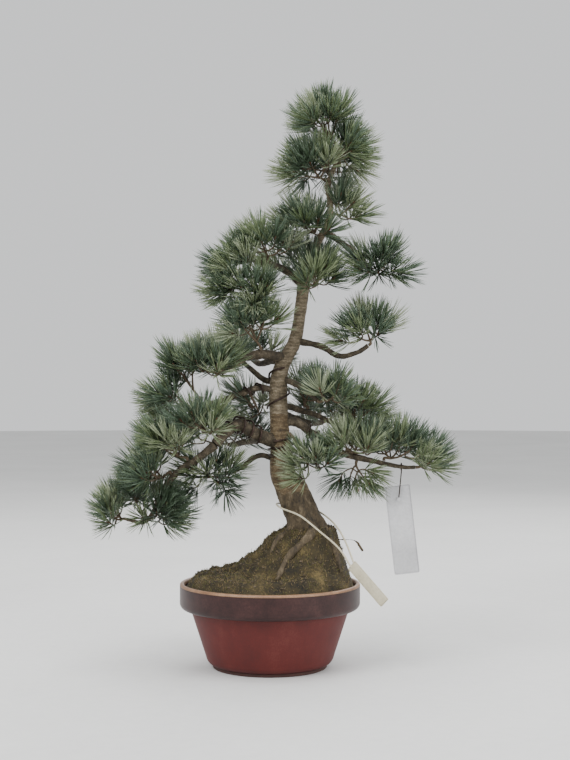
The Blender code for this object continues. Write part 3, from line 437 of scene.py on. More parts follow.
# %% Pot pieces
lip_top = POT_HEIGHT - POT_LIP / 2
inner = POT_RIM_RADIUS - POT_WALL
lip_profile = arc(POT_RIM_RADIUS - POT_LIP / 2, lip_top, POT_LIP / 2, -6, 150, 12)
lip_profile += [(inner, POT_HEIGHT - 0.004), (inner, POT_HEIGHT - 0.0045)]
band_profile = [(inner, POT_HEIGHT - 0.0047), (inner, BAND_LOW + 0.004)]
band_profile += [(POT_BODY_TOP_RADIUS - 0.004, BAND_LOW + 0.0005)]
band_profile += arc(POT_RIM_RADIUS - POT_BAND_ROUND, BAND_LOW + POT_BAND_ROUND, POT_BAND_ROUND, -88, 0, 10)
band_profile += [(POT_RIM_RADIUS, lip_top - 0.0006)]
corner_high = POT_FOOT_HEIGHT + POT_CORNER
body_foot = POT_FOOT_HEIGHT + 0.0002
body_profile = [(POT_FOOT_RADIUS - 0.012, body_foot), (POT_FOOT_RADIUS, body_foot)]
body_profile += arc(POT_BODY_LOW_RADIUS - POT_CORNER, corner_high, POT_CORNER, -80, -14, 8)
body_profile += [(POT_BODY_TOP_RADIUS - 0.0005, BAND_LOW - 0.0040), (POT_BODY_TOP_RADIUS, BAND_LOW - 0.0010),
                 (POT_BODY_TOP_RADIUS - 0.001, BAND_LOW + 0.0002),
                 (POT_BODY_TOP_RADIUS - 0.010, BAND_LOW + 0.0002),
                 (POT_BODY_LOW_RADIUS - 0.012, corner_high)]
foot_profile = [(POT_FOOT_RADIUS - 0.009, 0.0), (POT_FOOT_RADIUS - 0.0006, 0.0), (POT_FOOT_RADIUS, 0.0006),
                (POT_FOOT_RADIUS, POT_FOOT_HEIGHT), (POT_FOOT_RADIUS - 0.009, POT_FOOT_HEIGHT)]

stand_for(turned("pot_lip", lip_profile, lip_clay), "pot", "pot")
stand_for(turned("pot_band", band_profile, glaze), "pot", "pot")
stand_for(turned("pot_body", body_profile, clay), "pot", "pot")
stand_for(turned("pot_foot", foot_profile, foot_clay), "pot", "pot")

bpy.ops.object.select_all(action="DESELECT")
bpy.ops.mesh.primitive_cylinder_add(vertices=96, radius=POT_FOOT_RADIUS - 0.008, depth=POT_FOOT_HEIGHT,
                                    location=(0.0, 0.0, 0.0))
pot_base = bpy.context.active_object
pot_base.name = "pot_base"
bpy.ops.object.mode_set(mode="EDIT")
bpy.ops.mesh.select_all(action="SELECT")
bpy.ops.transform.translate(value=(0.0, 0.0, POT_FOOT_HEIGHT / 2 + 0.0015))
bpy.ops.object.mode_set(mode="OBJECT")
pot_base.data.materials.append(foot_clay)
stand_for(pot_base, "pot", "pot")
print("pot pieces made")

# %% [markdown]
# ## Soil mound
# The tree stands on a steep mound of old roots and soil under moss. A disc of rings is raised to the mound's
# height at each point and roughened, and short moss leaves and grains of soil are scattered over it.

# %% Mound sizes
SOIL_BELOW_RIM = 0.006
MOUND_LEVELS = (
    (0.1150, -0.1120, 0.1120),
    (0.1220, -0.0940, 0.1080),
    (0.1290, -0.0520, 0.1050),
    (0.1410, -0.0350, 0.1000),
    (0.1570, -0.0130, 0.0950),
    (0.1710, -0.0020, 0.0910),
    (0.1830, 0.0190, 0.0870),
)
MOUND_RINGS = 110
MOUND_SECTORS = 200
SOIL_GAP = 0.0012
MOUND_EDGE = POT_RIM_RADIUS - POT_WALL - SOIL_GAP
SKIRT_DROP = 0.030
LUMP_SCALE, LUMP_HEIGHT = 75.0, 0.0048
TUFT_SCALE, TUFT_HEIGHT = 210.0, 0.0036
CALM_EDGE = 0.012


def mound_ring(height):
    levels = MOUND_LEVELS
    k = 0
    while k < len(levels) - 2 and levels[k + 1][0] < height:
        k += 1
    low, high = levels[k], levels[k + 1]
    t = min(1.0, max(0.0, (height - low[0]) / (high[0] - low[0])))
    left = low[1] + t * (high[1] - low[1])
    right = low[2] + t * (high[2] - low[2])
    return (left + right) / 2, (right - left) / 2


def mound_top(x, y):
    """Height of the mound over a point in plan."""
    low, high = MOUND_LEVELS[0][0], MOUND_LEVELS[-1][0]
    for _ in range(16):
        height = (low + high) / 2
        middle, radius = mound_ring(height)
        if math.hypot(x - middle, y) < radius:
            low = height
        else:
            high = height
    return (low + high) / 2


def mound_skin(x, y):
    """Height of the rough moss over a point in plan."""
    height = mound_top(x, y)
    place = Vector((x, y, height))
    lumps = noise.fractal(place * LUMP_SCALE, 0.8, 2.1, 5) * LUMP_HEIGHT
    tufts = abs(noise.noise(place * TUFT_SCALE)) * TUFT_HEIGHT
    rim = min(1.0, max(0.0, (MOUND_EDGE - math.hypot(x, y)) / CALM_EDGE))
    drop = MOUND_LEVELS[0][0] - POT_HEIGHT + SOIL_BELOW_RIM
    return height - (1 - rim) * drop + (lumps + tufts) * rim


# %% Mound mesh
mound_points = [(0.0, 0.0, mound_skin(0.0, 0.0))]
mound_faces = []
for ring in range(1, MOUND_RINGS + 1):
    radius = MOUND_EDGE * ring / MOUND_RINGS
    for sector in range(MOUND_SECTORS):
        angle = math.tau * sector / MOUND_SECTORS
        x, y = radius * math.cos(angle), radius * math.sin(angle)
        mound_points.append((x, y, mound_skin(x, y)))
skirt = POT_HEIGHT - SKIRT_DROP
for sector in range(MOUND_SECTORS):
    angle = math.tau * sector / MOUND_SECTORS
    mound_points.append((MOUND_EDGE * math.cos(angle), MOUND_EDGE * math.sin(angle), skirt))
mound_points.append((0.0, 0.0, skirt))
for sector in range(MOUND_SECTORS):
    after = (sector + 1) % MOUND_SECTORS
    mound_faces.append((0, 1 + sector, 1 + after))
    for ring in range(MOUND_RINGS):
        low = 1 + ring * MOUND_SECTORS
        high = low + MOUND_SECTORS
        mound_faces.append((low + sector, high + sector, high + after, low + after))
    bottom = 1 + MOUND_RINGS * MOUND_SECTORS
    mound_faces.append((bottom + after, bottom + sector, len(mound_points) - 1))
mound = face_piece("mound", mound_points, mound_faces, moss)
stand_for(mound, "soil", "soil_mound")
print("mound", len(mound_faces), "faces")


# %% [markdown]
# ## Needles, leaves and grains from arrays
# A pine needle is a slim three-sided blade that bends a little and ends in a point. Thousands are needed, so
# they're worked out together as arrays: a root, a way, a bend, a length and a width for each.


# %% Blade arrays
BLADE_RINGS = ((0.0, 0.8), (0.38, 1.0), (0.76, 0.75))


def blades(roots, ways, bends, lengths, widths, seed):
    """Points and triangles of closed three-sided blades, from the arrays of their roots, ways and sizes."""
    draw = np.random.default_rng(seed)
    count = len(roots)
    ways = ways / np.linalg.norm(ways, axis=1)[:, None]
    hint = np.where(np.abs(ways[:, 2:3]) < 0.9, [[0.0, 0.0, 1.0]], [[1.0, 0.0, 0.0]])
    side = np.cross(ways, hint)
    side /= np.linalg.norm(side, axis=1)[:, None]
    back = np.cross(ways, side)
    phase = draw.uniform(0.0, math.tau, count)
    points = np.empty((count, 10, 3))
    for ring, (share, wide) in enumerate(BLADE_RINGS):
        center = roots + ways * (lengths * share)[:, None] + bends * (lengths * share ** 2)[:, None]
        for corner in range(3):
            angle = phase + math.tau * corner / 3
            reach = (widths * wide / 2)[:, None]
            out = side * np.cos(angle)[:, None] + back * np.sin(angle)[:, None]
            points[:, ring * 3 + corner] = center + reach * out
    points[:, 9] = roots + ways * lengths[:, None] + bends * lengths[:, None]
    faces = [(0, 2, 1)]
    for ring in range(2):
        for corner in range(3):
            a, b = ring * 3 + corner, ring * 3 + (corner + 1) % 3
            faces += [(a, b, b + 3), (a, b + 3, a + 3)]
    faces += [(6 + corner, 6 + (corner + 1) % 3, 9) for corner in range(3)]
    triangles = np.array(faces)[None] + (np.arange(count) * 10)[:, None, None]
    return points.reshape(-1, 3), triangles.reshape(-1, 3)


# %% Moss leaves and soil grains
MOSS_LEAVES = 5200
GRAINS = 900
moss_draw = random.Random(7)


def scattered(count, edge):
    found = []
    while len(found) < count:
        x, y = moss_draw.uniform(-edge, edge), moss_draw.uniform(-edge, edge)
        if math.hypot(x, y) < edge:
            found.append((x, y, mound_skin(x, y)))
    return np.array(found)


for leaf_name, leaf_material, share in (("moss_green", moss_leaf, 0.55), ("moss_ochre", moss_dry, 0.45)):
    leaf_count = int(MOSS_LEAVES * share)
    leaf_roots = scattered(leaf_count, MOUND_EDGE - 0.003) - (0.0, 0.0, 0.0008)
    leaf_draw = np.random.default_rng(len(leaf_name))
    leaf_ways = leaf_draw.normal(0.0, 0.55, (leaf_count, 3)) + (0.0, 0.0, 0.9)
    leaf_bends = leaf_draw.normal(0.0, 0.15, (leaf_count, 3))
    leaf_sizes = leaf_draw.uniform(0.0018, 0.0048, leaf_count)
    leaf_arrays = blades(leaf_roots, leaf_ways, leaf_bends, leaf_sizes, np.full(leaf_count, 0.0007), 3)
    stand_for(array_piece(leaf_name, *leaf_arrays, leaf_material), "soil", "soil_mound")

grain_points, grain_faces = [], []
for x, y, z in scattered(GRAINS, MOUND_EDGE - 0.004):
    grain = bmesh.new()
    bmesh.ops.create_icosphere(grain, subdivisions=1, radius=moss_draw.uniform(0.0006, 0.0019))
    start = len(grain_points)
    stretch = Vector((moss_draw.uniform(0.7, 1.3), moss_draw.uniform(0.7, 1.3), moss_draw.uniform(0.5, 0.9)))
    for vert in grain.verts:
        grain_points.append(Vector((x, y, z)) + Vector([a * b for a, b in zip(vert.co, stretch)]))
    grain_faces += [tuple(start + vert.index for vert in face.verts) for face in grain.faces]
    grain.free()
soil_grains = face_piece("soil_grains", grain_points, grain_faces, root_bark, smooth=False)
stand_for(soil_grains, "soil", "soil_mound")
print("moss", MOSS_LEAVES, "leaves and", GRAINS, "grains")

# %% [markdown]
# ## Trunk and roots
# The trunk flares into surface roots that grip the mound. Its bark is rough and dark below, banded
# orange-brown in the middle and tan above. The trunk and its roots are joined and remeshed to one skin, as by
# hand with a voxel remesh, so that no seam shows where a root leaves. The skin is then raised and lowered by
# noise for the bark's relief, which a bump alone would not show at the outline.

# %% Trunk sizes
TRUNK_LINE = (
    (0.0510, 0.000, 0.1660, 0.0290),
    (0.0465, 0.000, 0.1870, 0.0255),
    (0.0415, 0.000, 0.2040, 0.0225),
    (0.0330, -0.001, 0.2230, 0.0212),
    (0.0240, -0.002, 0.2410, 0.0190),
    (0.0165, -0.003, 0.2580, 0.0168),
    (0.0150, -0.004, 0.2900, 0.0148),
    (0.0125, -0.004, 0.3200, 0.0124),
    (0.0110, -0.002, 0.3690, 0.0121),
    (0.0160, 0.000, 0.4000, 0.0102),
    (0.0330, 0.002, 0.4330, 0.0088),
    (0.0400, 0.003, 0.4700, 0.0080),
    (0.0450, 0.003, 0.5060, 0.0086),
    (0.0490, 0.002, 0.5300, 0.0065),
    (0.0620, 0.000, 0.5620, 0.0054),
    (0.0780, 0.000, 0.5920, 0.0047),
    (0.0800, 0.002, 0.6180, 0.0042),
    (0.0775, 0.004, 0.6430, 0.0039),
    (0.0870, 0.003, 0.6680, 0.0033),
    (0.0910, 0.002, 0.6880, 0.0026),
)
FLARE_LOBES = 5
FLARE_DEPTH = 0.22
FLARE_HEIGHT = 0.030
BULGE_HEIGHT = 0.234
BULGE_SIZE = 0.0035
ROOTS = (
    (((0.058, -0.014), (0.053, -0.040), (0.038, -0.050), (0.022, -0.060), (0.015, -0.072), (0.009, -0.090)),
     0.0075, 0.0028),
    (((0.034, -0.006), (0.012, -0.030), (0.001, -0.042)), 0.0070, 0.0022),
    (((0.066, -0.010), (0.084, -0.030), (0.093, -0.042)), 0.0065, 0.0022),
    (((0.036, 0.010), (0.012, 0.032), (-0.012, 0.050)), 0.0075, 0.0024),
    (((0.064, 0.012), (0.078, 0.038), (0.080, 0.062)), 0.0070, 0.0024),
)
ROOT_LIFT = 0.0012
DEAD_ROOT = ((0.070, -0.004, 0.176), (0.090, -0.010, 0.1700), (0.112, -0.016, 0.1690),
             (0.123, -0.018, 0.1560))
DEAD_ROOT_RADII = (0.0030, 0.0012)
ROOT_RISE = 0.018
BARK_EDGES = (0.232, 0.335)
ROUGH_TOP = 0.27
ROUGH_FADE = 0.08
PLATE_HEIGHT = 0.0016
MARK_HEIGHT = 0.00035
TRUNK_SIDES = 48
REMESH_SIZE = 0.0010

trunk_rows = smooth_line([Vector(row) for row in TRUNK_LINE], 12)
trunk = Limb([row.xyz for row in trunk_rows], [row.w for row in trunk_rows])


# %% Trunk skin
def trunk_arrays():
    points, faces = [], []
    for k, center in enumerate(trunk.line):
        before, after = trunk.line[max(k - 1, 0)], trunk.line[min(k + 1, len(trunk.line) - 1)]
        along = (after - before).normalized() if k else Vector((0.0, 0.0, 1.0))
        side = Vector((0.0, 1.0, 0.0)).cross(along).normalized()
        back = along.cross(side)
        flare = FLARE_DEPTH * math.exp(-(center.z - trunk.line[0].z) / FLARE_HEIGHT)
        bulge = BULGE_SIZE * math.exp(-((center.z - BULGE_HEIGHT) / 0.014) ** 2)
        for j in range(TRUNK_SIDES):
            angle = math.tau * j / TRUNK_SIDES
            radius = trunk.radii[k] * (1 + flare * (math.cos(FLARE_LOBES * angle + 0.6) - 0.3))
            radius += bulge * max(0.0, math.cos(angle + 0.4))
            points.append(center + side * (radius * math.cos(angle)) + back * (radius * math.sin(angle)))
    for k in range(len(trunk.line) - 1):
        for j in range(TRUNK_SIDES):
            a, b = k * TRUNK_SIDES + j, k * TRUNK_SIDES + (j + 1) % TRUNK_SIDES
            faces.append((a, b, b + TRUNK_SIDES, a + TRUNK_SIDES))
    faces.append(tuple(reversed(range(TRUNK_SIDES))))
    last = (len(trunk.line) - 1) * TRUNK_SIDES
    faces.append(tuple(range(last, last + TRUNK_SIDES)))
    return points, faces


def bark_relief(place, height):
    """How far the bark stands out at a place: plates low on the trunk, level bands higher up."""
    rough = max(0.0, min(1.0, (ROUGH_TOP - height) / ROUGH_FADE))
    plates = noise.fractal(Vector((place.x * 90, place.y * 90, place.z * 45)), 0.9, 2.1, 4) * PLATE_HEIGHT
    knots = noise.noise(place * 38.0) * PLATE_HEIGHT
    bands = noise.fractal(Vector((place.x * 45, place.y * 45, place.z * 330)), 1.0, 2.0, 3) * MARK_HEIGHT
    return rough * (plates + knots) + (1 - rough) * (bands + plates * 0.35)


tubes = [trunk_arrays()]
for plan, first_radius, last_radius in ROOTS:
    places = []
    for k, (x, y) in enumerate(plan):
        places.append((x, y, TRUNK_LINE[0][2] + ROOT_RISE if k == 0 else mound_top(x, y) + ROOT_LIFT))
    root = tapered_limb(places, first_radius, last_radius, 8)
    tubes.append(tube_arrays(root.line, root.radii, 16))
dead = tapered_limb(DEAD_ROOT, *DEAD_ROOT_RADII, 8)
tubes.append(tube_arrays(dead.line, dead.radii, 12))
trunk_skin = joined_tubes("trunk_skin", tubes, bark_middle)
remesh = trunk_skin.modifiers.new("one_skin", "REMESH")
remesh.mode = "VOXEL"
remesh.voxel_size = REMESH_SIZE
soften = trunk_skin.modifiers.new("soften", "SMOOTH")
soften.iterations = 4
bpy.ops.object.select_all(action="DESELECT")
bpy.context.view_layer.objects.active = trunk_skin
trunk_skin.select_set(True)
bpy.ops.object.modifier_apply(modifier="one_skin")
bpy.ops.object.modifier_apply(modifier="soften")
places = [vert.co.copy() for vert in trunk_skin.data.vertices]
normals = [vert.normal.copy() for vert in trunk_skin.data.vertices]
for vert, place, normal in zip(trunk_skin.data.vertices, places, normals):
    vert.co = place + normal * bark_relief(place, place.z)
trunk_skin.data.shade_smooth()
trunk_skin.data.materials.clear()
for material in (bark_low, bark_middle, bark_high):
    trunk_skin.data.materials.append(material)
for face in trunk_skin.data.polygons:
    height = face.center.z + 0.006 * noise.noise(face.center * 60.0)
    face.material_index = sum(height >= edge for edge in BARK_EDGES)
stand_for(trunk_skin, "bark", "trunk")
print("trunk", len(trunk_skin.data.polygons), "faces")

# %% [markdown]
# ## Boughs
# Each bough tapers from the trunk to the mass it carries. By hand it would be a curve with a thickness at
# each point. Its bark is scaly, so each tube here has many rings whose radius changes a little by noise.

# %% Bough sizes
BOUGHS = {
    "bough_left_upper": (((0.044, 0.003, 0.508), (0.027, -0.004, 0.524), (0.004, -0.012, 0.534),
        (-0.020, -0.016, 0.538)), 0.0062, 0.0034),
    "bough_left_mid": (((0.020, 0.000, 0.410), (-0.007, -0.014, 0.415), (-0.028, -0.026, 0.413),
        (-0.046, -0.032, 0.402), (-0.064, -0.036, 0.391)), 0.0072, 0.0040),
    "bough_left_cross": (((0.012, 0.000, 0.378), (-0.008, 0.010, 0.382), (-0.026, 0.016, 0.396),
        (-0.046, 0.022, 0.414)), 0.0045, 0.0028),
    "bough_left_thin": (((0.011, -0.002, 0.366), (-0.014, -0.010, 0.371), (-0.041, -0.010, 0.362),
        (-0.070, -0.006, 0.352), (-0.098, -0.006, 0.348)), 0.0048, 0.0028),
    "bough_left_low": (((0.013, -0.004, 0.296), (-0.018, -0.022, 0.310), (-0.040, -0.036, 0.323),
        (-0.056, -0.045, 0.314), (-0.070, -0.050, 0.298)), 0.0094, 0.0066),
    "bough_left_outer": (((-0.0705, -0.0502, 0.2972), (-0.094, -0.046, 0.278), (-0.121, -0.038, 0.260),
        (-0.141, -0.030, 0.234), (-0.154, -0.026, 0.206), (-0.168, -0.022, 0.194),
        (-0.188, -0.018, 0.197)), 0.0058, 0.0024),
    "bough_left_under": (((0.016, -0.004, 0.272), (-0.014, -0.006, 0.281), (-0.040, -0.010, 0.264),
        (-0.062, -0.014, 0.257)), 0.0038, 0.0024),
    "bough_right_top": (((0.072, 0.000, 0.581), (0.099, -0.008, 0.561), (0.115, -0.014, 0.550),
        (0.138, -0.018, 0.540)), 0.0042, 0.0028),
    "bough_right_mid": (((0.034, 0.002, 0.434), (0.068, -0.004, 0.426), (0.092, -0.010, 0.413),
        (0.116, -0.013, 0.418), (0.130, -0.014, 0.427)), 0.0046, 0.0030),
    "bough_right_inner": (((0.012, -0.001, 0.384), (0.034, -0.014, 0.376), (0.050, -0.020, 0.365),
        (0.062, -0.023, 0.355)), 0.0044, 0.0030),
    "bough_right_back": (((0.012, -0.002, 0.350), (0.036, 0.018, 0.342), (0.062, 0.022, 0.334),
        (0.090, 0.014, 0.322), (0.108, 0.008, 0.326)), 0.0046, 0.0026),
    "bough_right_low": (((0.013, -0.004, 0.324), (0.036, -0.004, 0.325), (0.057, -0.006, 0.309),
        (0.080, -0.010, 0.295), (0.100, -0.014, 0.283), (0.121, -0.016, 0.278),
        (0.150, -0.018, 0.271), (0.178, -0.018, 0.266), (0.192, -0.018, 0.266)), 0.0064, 0.0024),
    "bough_back_left": (((0.018, 0.000, 0.404), (0.004, 0.030, 0.408), (-0.014, 0.066, 0.404),
        (-0.026, 0.092, 0.410)), 0.0062, 0.0034),
    "bough_back_right": (((0.012, -0.002, 0.336), (0.024, 0.034, 0.332), (0.052, 0.070, 0.322),
        (0.072, 0.094, 0.322)), 0.0066, 0.0036),
    "bough_back_low": (((0.014, -0.004, 0.306), (-0.006, 0.034, 0.302), (-0.034, 0.074, 0.296),
        (-0.054, 0.096, 0.290)), 0.0068, 0.0036),
}
BOUGH_SIDES = 18
BOUGH_STEPS = 22
RULE_STEPS = 2
SCALE_SHARE = 0.13
KNOT_SHARE = 0.16
coarse_rows = smooth_line([Vector(row) for row in TRUNK_LINE], RULE_STEPS)
limbs = {"trunk": Limb([row.xyz for row in coarse_rows], [row.w for row in coarse_rows])}


# %% Bough meshes
def scaly(place, angle):
    """What a bough's radius is multiplied by: scales and a few knots."""
    scales = noise.fractal(place * 190.0, 0.9, 2.0, 3) * SCALE_SHARE
    knots = noise.noise(place * 62.0) * KNOT_SHARE
    return 1.0 + scales + knots


for name, (points, first_radius, last_radius) in BOUGHS.items():
    limbs[name] = tapered_limb(points, first_radius, last_radius, RULE_STEPS)
    fine = tapered_limb(points, first_radius, last_radius, BOUGH_STEPS)
    bark_tube = tube_arrays(fine.line, fine.radii, BOUGH_SIDES, scaly)
    piece = joined_tubes(name.replace("bough", "limb"), [bark_tube], bough_bark)
    stand_for(piece, "bark", name)
print(len(BOUGHS), "boughs")

# %% [markdown]
# ## Twigs and needles
# White pine needles grow in bundles of five, set spirally round the last few centimetres of a shoot, and they
# curve up towards its tip. The twigs follow the solids' rule, with the same seeds, and fork once more. Each
# fork ends in a brush. A needle that would enter a limb or one of the labels is left out.

# %% Mass sizes
MASSES = {
    "needles_apex": ("trunk", 1.00, (0.072, -0.004, 0.726), (0.016, 0.014, 0.008),
        (-0.28, -0.1, 1.0), 0.80, 5),
    "needles_apex_left": ("trunk", 0.92, (0.052, -0.012, 0.663), (0.018, 0.016, 0.012),
        (-0.6, -0.3, 0.75), 0.8, 4),
    "needles_apex_right": ("trunk", 0.965, (0.103, -0.006, 0.686), (0.009, 0.014, 0.010),
        (0.8, -0.1, 0.45), 0.8, 4),
    "needles_apex_back": ("trunk", 0.94, (0.078, 0.034, 0.672), (0.020, 0.010, 0.014),
        (0.0, 0.9, 0.5), 0.8, 4),
    "needles_neck": ("trunk", 0.84, (0.098, -0.004, 0.606), (0.006, 0.010, 0.004), (0.4, -0.1, 0.9), 0.7, 2),
    "needles_shoulder": ("trunk", 0.80, (0.046, -0.010, 0.584), (0.018, 0.018, 0.006),
        (-0.35, -0.2, 0.9), 0.8, 4),
    "needles_upper_left": ("bough_left_upper", 0.80, (-0.004, -0.022, 0.556), (0.022, 0.022, 0.008),
        (-0.2, -0.2, 0.95), 0.7, 4),
    "needles_upper_outer": ("bough_left_upper", 1.00, (-0.046, -0.012, 0.522), (0.012, 0.024, 0.016),
        (-0.85, 0.0, 0.45), 0.75, 4),
    "needles_upper_front": ("bough_left_upper", 0.93, (-0.028, -0.046, 0.490), (0.026, 0.010, 0.012),
        (-0.25, -0.6, 0.35), 0.8, 4),
    "needles_heart": ("bough_left_mid", 0.40, (-0.020, -0.044, 0.454), (0.018, 0.014, 0.006),
        (-0.02, -0.3, 0.95), 0.75, 4),
    "needles_fork": ("trunk", 0.655, (0.062, -0.020, 0.514), (0.010, 0.012, 0.005),
        (0.15, -0.25, 0.95), 0.7, 3),
    "needles_right_top": ("bough_right_top", 1.00, (0.143, -0.022, 0.531), (0.016, 0.012, 0.010),
        (-0.05, -0.2, 0.25), 1.1, 4),
    "needles_right_mid": ("bough_right_mid", 1.00, (0.134, -0.016, 0.446), (0.018, 0.014, 0.012),
        (0.0, -0.1, 0.50), 0.95, 4),
    "needles_left_mid": ("bough_left_mid", 1.00, (-0.076, -0.038, 0.398), (0.018, 0.016, 0.008),
        (-0.05, -0.2, 1.0), 0.75, 4),
    "needles_left_rear": ("bough_left_cross", 1.00, (-0.070, 0.028, 0.408), (0.018, 0.018, 0.008),
        (-0.35, 0.5, 0.6), 0.8, 3),
    "needles_left_rise": ("bough_left_thin", 0.95, (-0.113, -0.008, 0.394), (0.014, 0.016, 0.008),
        (-0.3, 0.0, 0.9), 0.7, 3),
    "needles_left_reach": ("bough_left_thin", 1.00, (-0.132, -0.006, 0.352), (0.012, 0.018, 0.018),
        (-0.9, 0.0, 0.4), 0.8, 4),
    "needles_low_front": ("bough_left_low", 0.84, (-0.086, -0.058, 0.322), (0.018, 0.012, 0.008),
        (0.0, -0.35, 0.9), 0.75, 3),
    "needles_low_left": ("bough_left_outer", 0.25, (-0.134, -0.042, 0.298), (0.022, 0.016, 0.010),
        (-0.4, -0.2, 0.8), 0.8, 4),
    "needles_low_outer": ("bough_left_outer", 0.42, (-0.158, -0.028, 0.260), (0.014, 0.018, 0.010),
        (-0.7, 0.0, 0.6), 0.8, 4),
    "needles_hanging": ("bough_left_under", 1.00, (-0.080, -0.022, 0.256), (0.018, 0.014, 0.006),
        (-0.1, -0.3, 0.2), 1.1, 4),
    "needles_tip_left": ("bough_left_outer", 1.00, (-0.203, -0.018, 0.206), (0.010, 0.014, 0.006),
        (-0.35, 0.0, 0.8), 0.85, 3),
    "needles_tip_middle": ("bough_left_outer", 0.83, (-0.176, -0.014, 0.224), (0.016, 0.018, 0.006),
        (-0.1, 0.1, 1.0), 0.7, 3),
    "needles_tip_inner": ("bough_left_outer", 0.70, (-0.144, -0.028, 0.206), (0.010, 0.014, 0.012),
        (0.35, -0.2, 0.35), 1.1, 4),
    "needles_behind_left": ("bough_left_thin", 0.35, (-0.026, 0.014, 0.342), (0.014, 0.014, 0.010),
        (-0.5, 0.4, 0.2), 0.9, 2),
    "needles_behind_right": ("bough_right_back", 0.42, (0.046, 0.034, 0.358), (0.012, 0.010, 0.008),
        (0.1, 0.4, 0.7), 0.9, 2),
    "needles_right_inner": ("bough_right_inner", 1.00, (0.075, -0.030, 0.362), (0.014, 0.012, 0.005),
        (-0.05, -0.2, 1.0), 0.75, 3),
    "needles_right_back": ("bough_right_back", 1.00, (0.118, 0.004, 0.338), (0.012, 0.012, 0.006),
        (0.3, 0.1, 0.8), 0.8, 3),
    "needles_right_low": ("bough_right_low", 0.52, (0.114, -0.022, 0.292), (0.018, 0.014, 0.006),
        (0.0, -0.2, 1.0), 0.75, 4),
    "needles_right_outer": ("bough_right_low", 0.78, (0.166, -0.016, 0.290), (0.020, 0.016, 0.006),
        (0.1, 0.0, 1.0), 0.7, 4),
    "needles_right_tip": ("bough_right_low", 1.00, (0.205, -0.018, 0.274), (0.008, 0.012, 0.005),
        (0.45, 0.0, 0.85), 0.75, 3),
    "needles_right_lowest": ("trunk", 0.272, (0.060, -0.032, 0.270), (0.014, 0.012, 0.008),
        (-0.1, -0.3, 0.5), 1.0, 3),
    "needles_right_hanging": ("bough_right_low", 0.60, (0.118, -0.014, 0.256), (0.010, 0.010, 0.004),
        (0.3, -0.1, -0.6), 0.9, 2),
    "needles_back_upper": ("trunk", 0.66, (0.044, 0.056, 0.536), (0.030, 0.018, 0.010),
        (0.0, 0.6, 0.8), 0.8, 4),
    "needles_back_left": ("bough_back_left", 1.00, (-0.034, 0.106, 0.418), (0.030, 0.018, 0.012),
        (-0.1, 0.6, 0.8), 0.8, 4),
    "needles_back_right": ("bough_back_right", 1.00, (0.082, 0.108, 0.332), (0.030, 0.018, 0.012),
        (0.1, 0.6, 0.8), 0.8, 4),
    "needles_back_low": ("bough_back_low", 1.00, (-0.066, 0.110, 0.300), (0.032, 0.020, 0.012),
        (-0.1, 0.6, 0.8), 0.8, 4),
}
FIRST_SEED = 40
GOLDEN_ANGLE = math.pi * (3 - math.sqrt(5))
HUB_SHARE = 0.62
HUB_DROP = 0.010
SPREAD_FACTOR = 1.35
SWAY = 0.12
COLLAR = 0.004
STEM_GAP = 0.00045
STEM_RADIUS = 0.0022
TWIG_RADIUS = 0.0016
TWIG_TIP_RADIUS = 0.0010
BASIS_HINT = (0.31, 0.87, 0.38)
FINE_FORKS = 2
FORK_REACH = 0.0115
BRUSH_LENGTH = 0.016
BUNDLES = 16
NEEDLES_IN_BUNDLE = 5
NEEDLE_LENGTH = 0.0385
NEEDLE_WIDTH = 0.00105


# %% Growing rule
def side_start(limb, share, goal):
    center, along, radius = limb.at(share)
    if share >= 1.0:
        return center + along * STEM_GAP, along
    away = goal - center
    away = (away - along * away.dot(along)).normalized()
    return center + away * (radius + STEM_GAP), away


def grow_mass(name, seed):
    """The stem's line of a mass, and the base and aim of each of its shoots."""
    limb_name, share, center, spread, aim, fan, count = MASSES[name]
    rng = random.Random(seed)
    center = Vector(center)
    aim = Vector(aim).normalized()
    start, leave = side_start(limbs[limb_name], share, center)
    reach = (center - start).length
    hub = start.lerp(center, HUB_SHARE) - aim * min(HUB_DROP, reach * 0.3)
    across = aim.cross(Vector(BASIS_HINT)).normalized()
    upward = aim.cross(across)
    phase = rng.uniform(0.0, math.tau)
    shoots = []
    for k in range(count):
        radial = math.sqrt((k + 0.5) / count)
        angle = phase + k * GOLDEN_ANGLE
        out = across * (radial * math.cos(angle)) + upward * (radial * math.sin(angle))
        offset = Vector([a * b for a, b in zip(out, spread)]) * SPREAD_FACTOR
        base = center + offset + aim * (sum(spread) / 3 * (0.5 - radial * radial))
        sway = Vector([rng.uniform(-SWAY, SWAY) for _ in range(3)])
        shoots.append((base, (aim + out * fan + sway).normalized()))
        rng.uniform(0.0, math.tau)
        rng.uniform(0.0, 1.0)
    return [start, start + leave * COLLAR, hub], shoots


def fine_shoots(base, aim, rng):
    """The shoot itself and its forks: where each leaves the twig, its base and its aim."""
    found = [(base - aim * 0.004, base, aim)]
    side = aim.orthogonal().normalized()
    phase = rng.uniform(0.0, math.tau)
    for k in range(FINE_FORKS):
        angle = phase + math.tau * k / FINE_FORKS + rng.uniform(-0.4, 0.4)
        out = side * math.cos(angle) + aim.cross(side) * math.sin(angle)
        tip = base + out * FORK_REACH * rng.uniform(0.8, 1.1) - aim * rng.uniform(0.001, 0.006)
        found.append((base - aim * 0.009, tip, (aim + out * 0.55).normalized()))
    return found


# %% Brushes
FORK_RADIUS = 0.0011
FORK_TIP_RADIUS = 0.0008
BUD_PLACES = (0.0, 0.0015, 0.0035, 0.0055)
BUD_RADII = (0.0009, 0.0014, 0.0011, 0.0002)


def taper(first, last, line):
    return [first + (last - first) * k / (len(line) - 1) for k in range(len(line))]


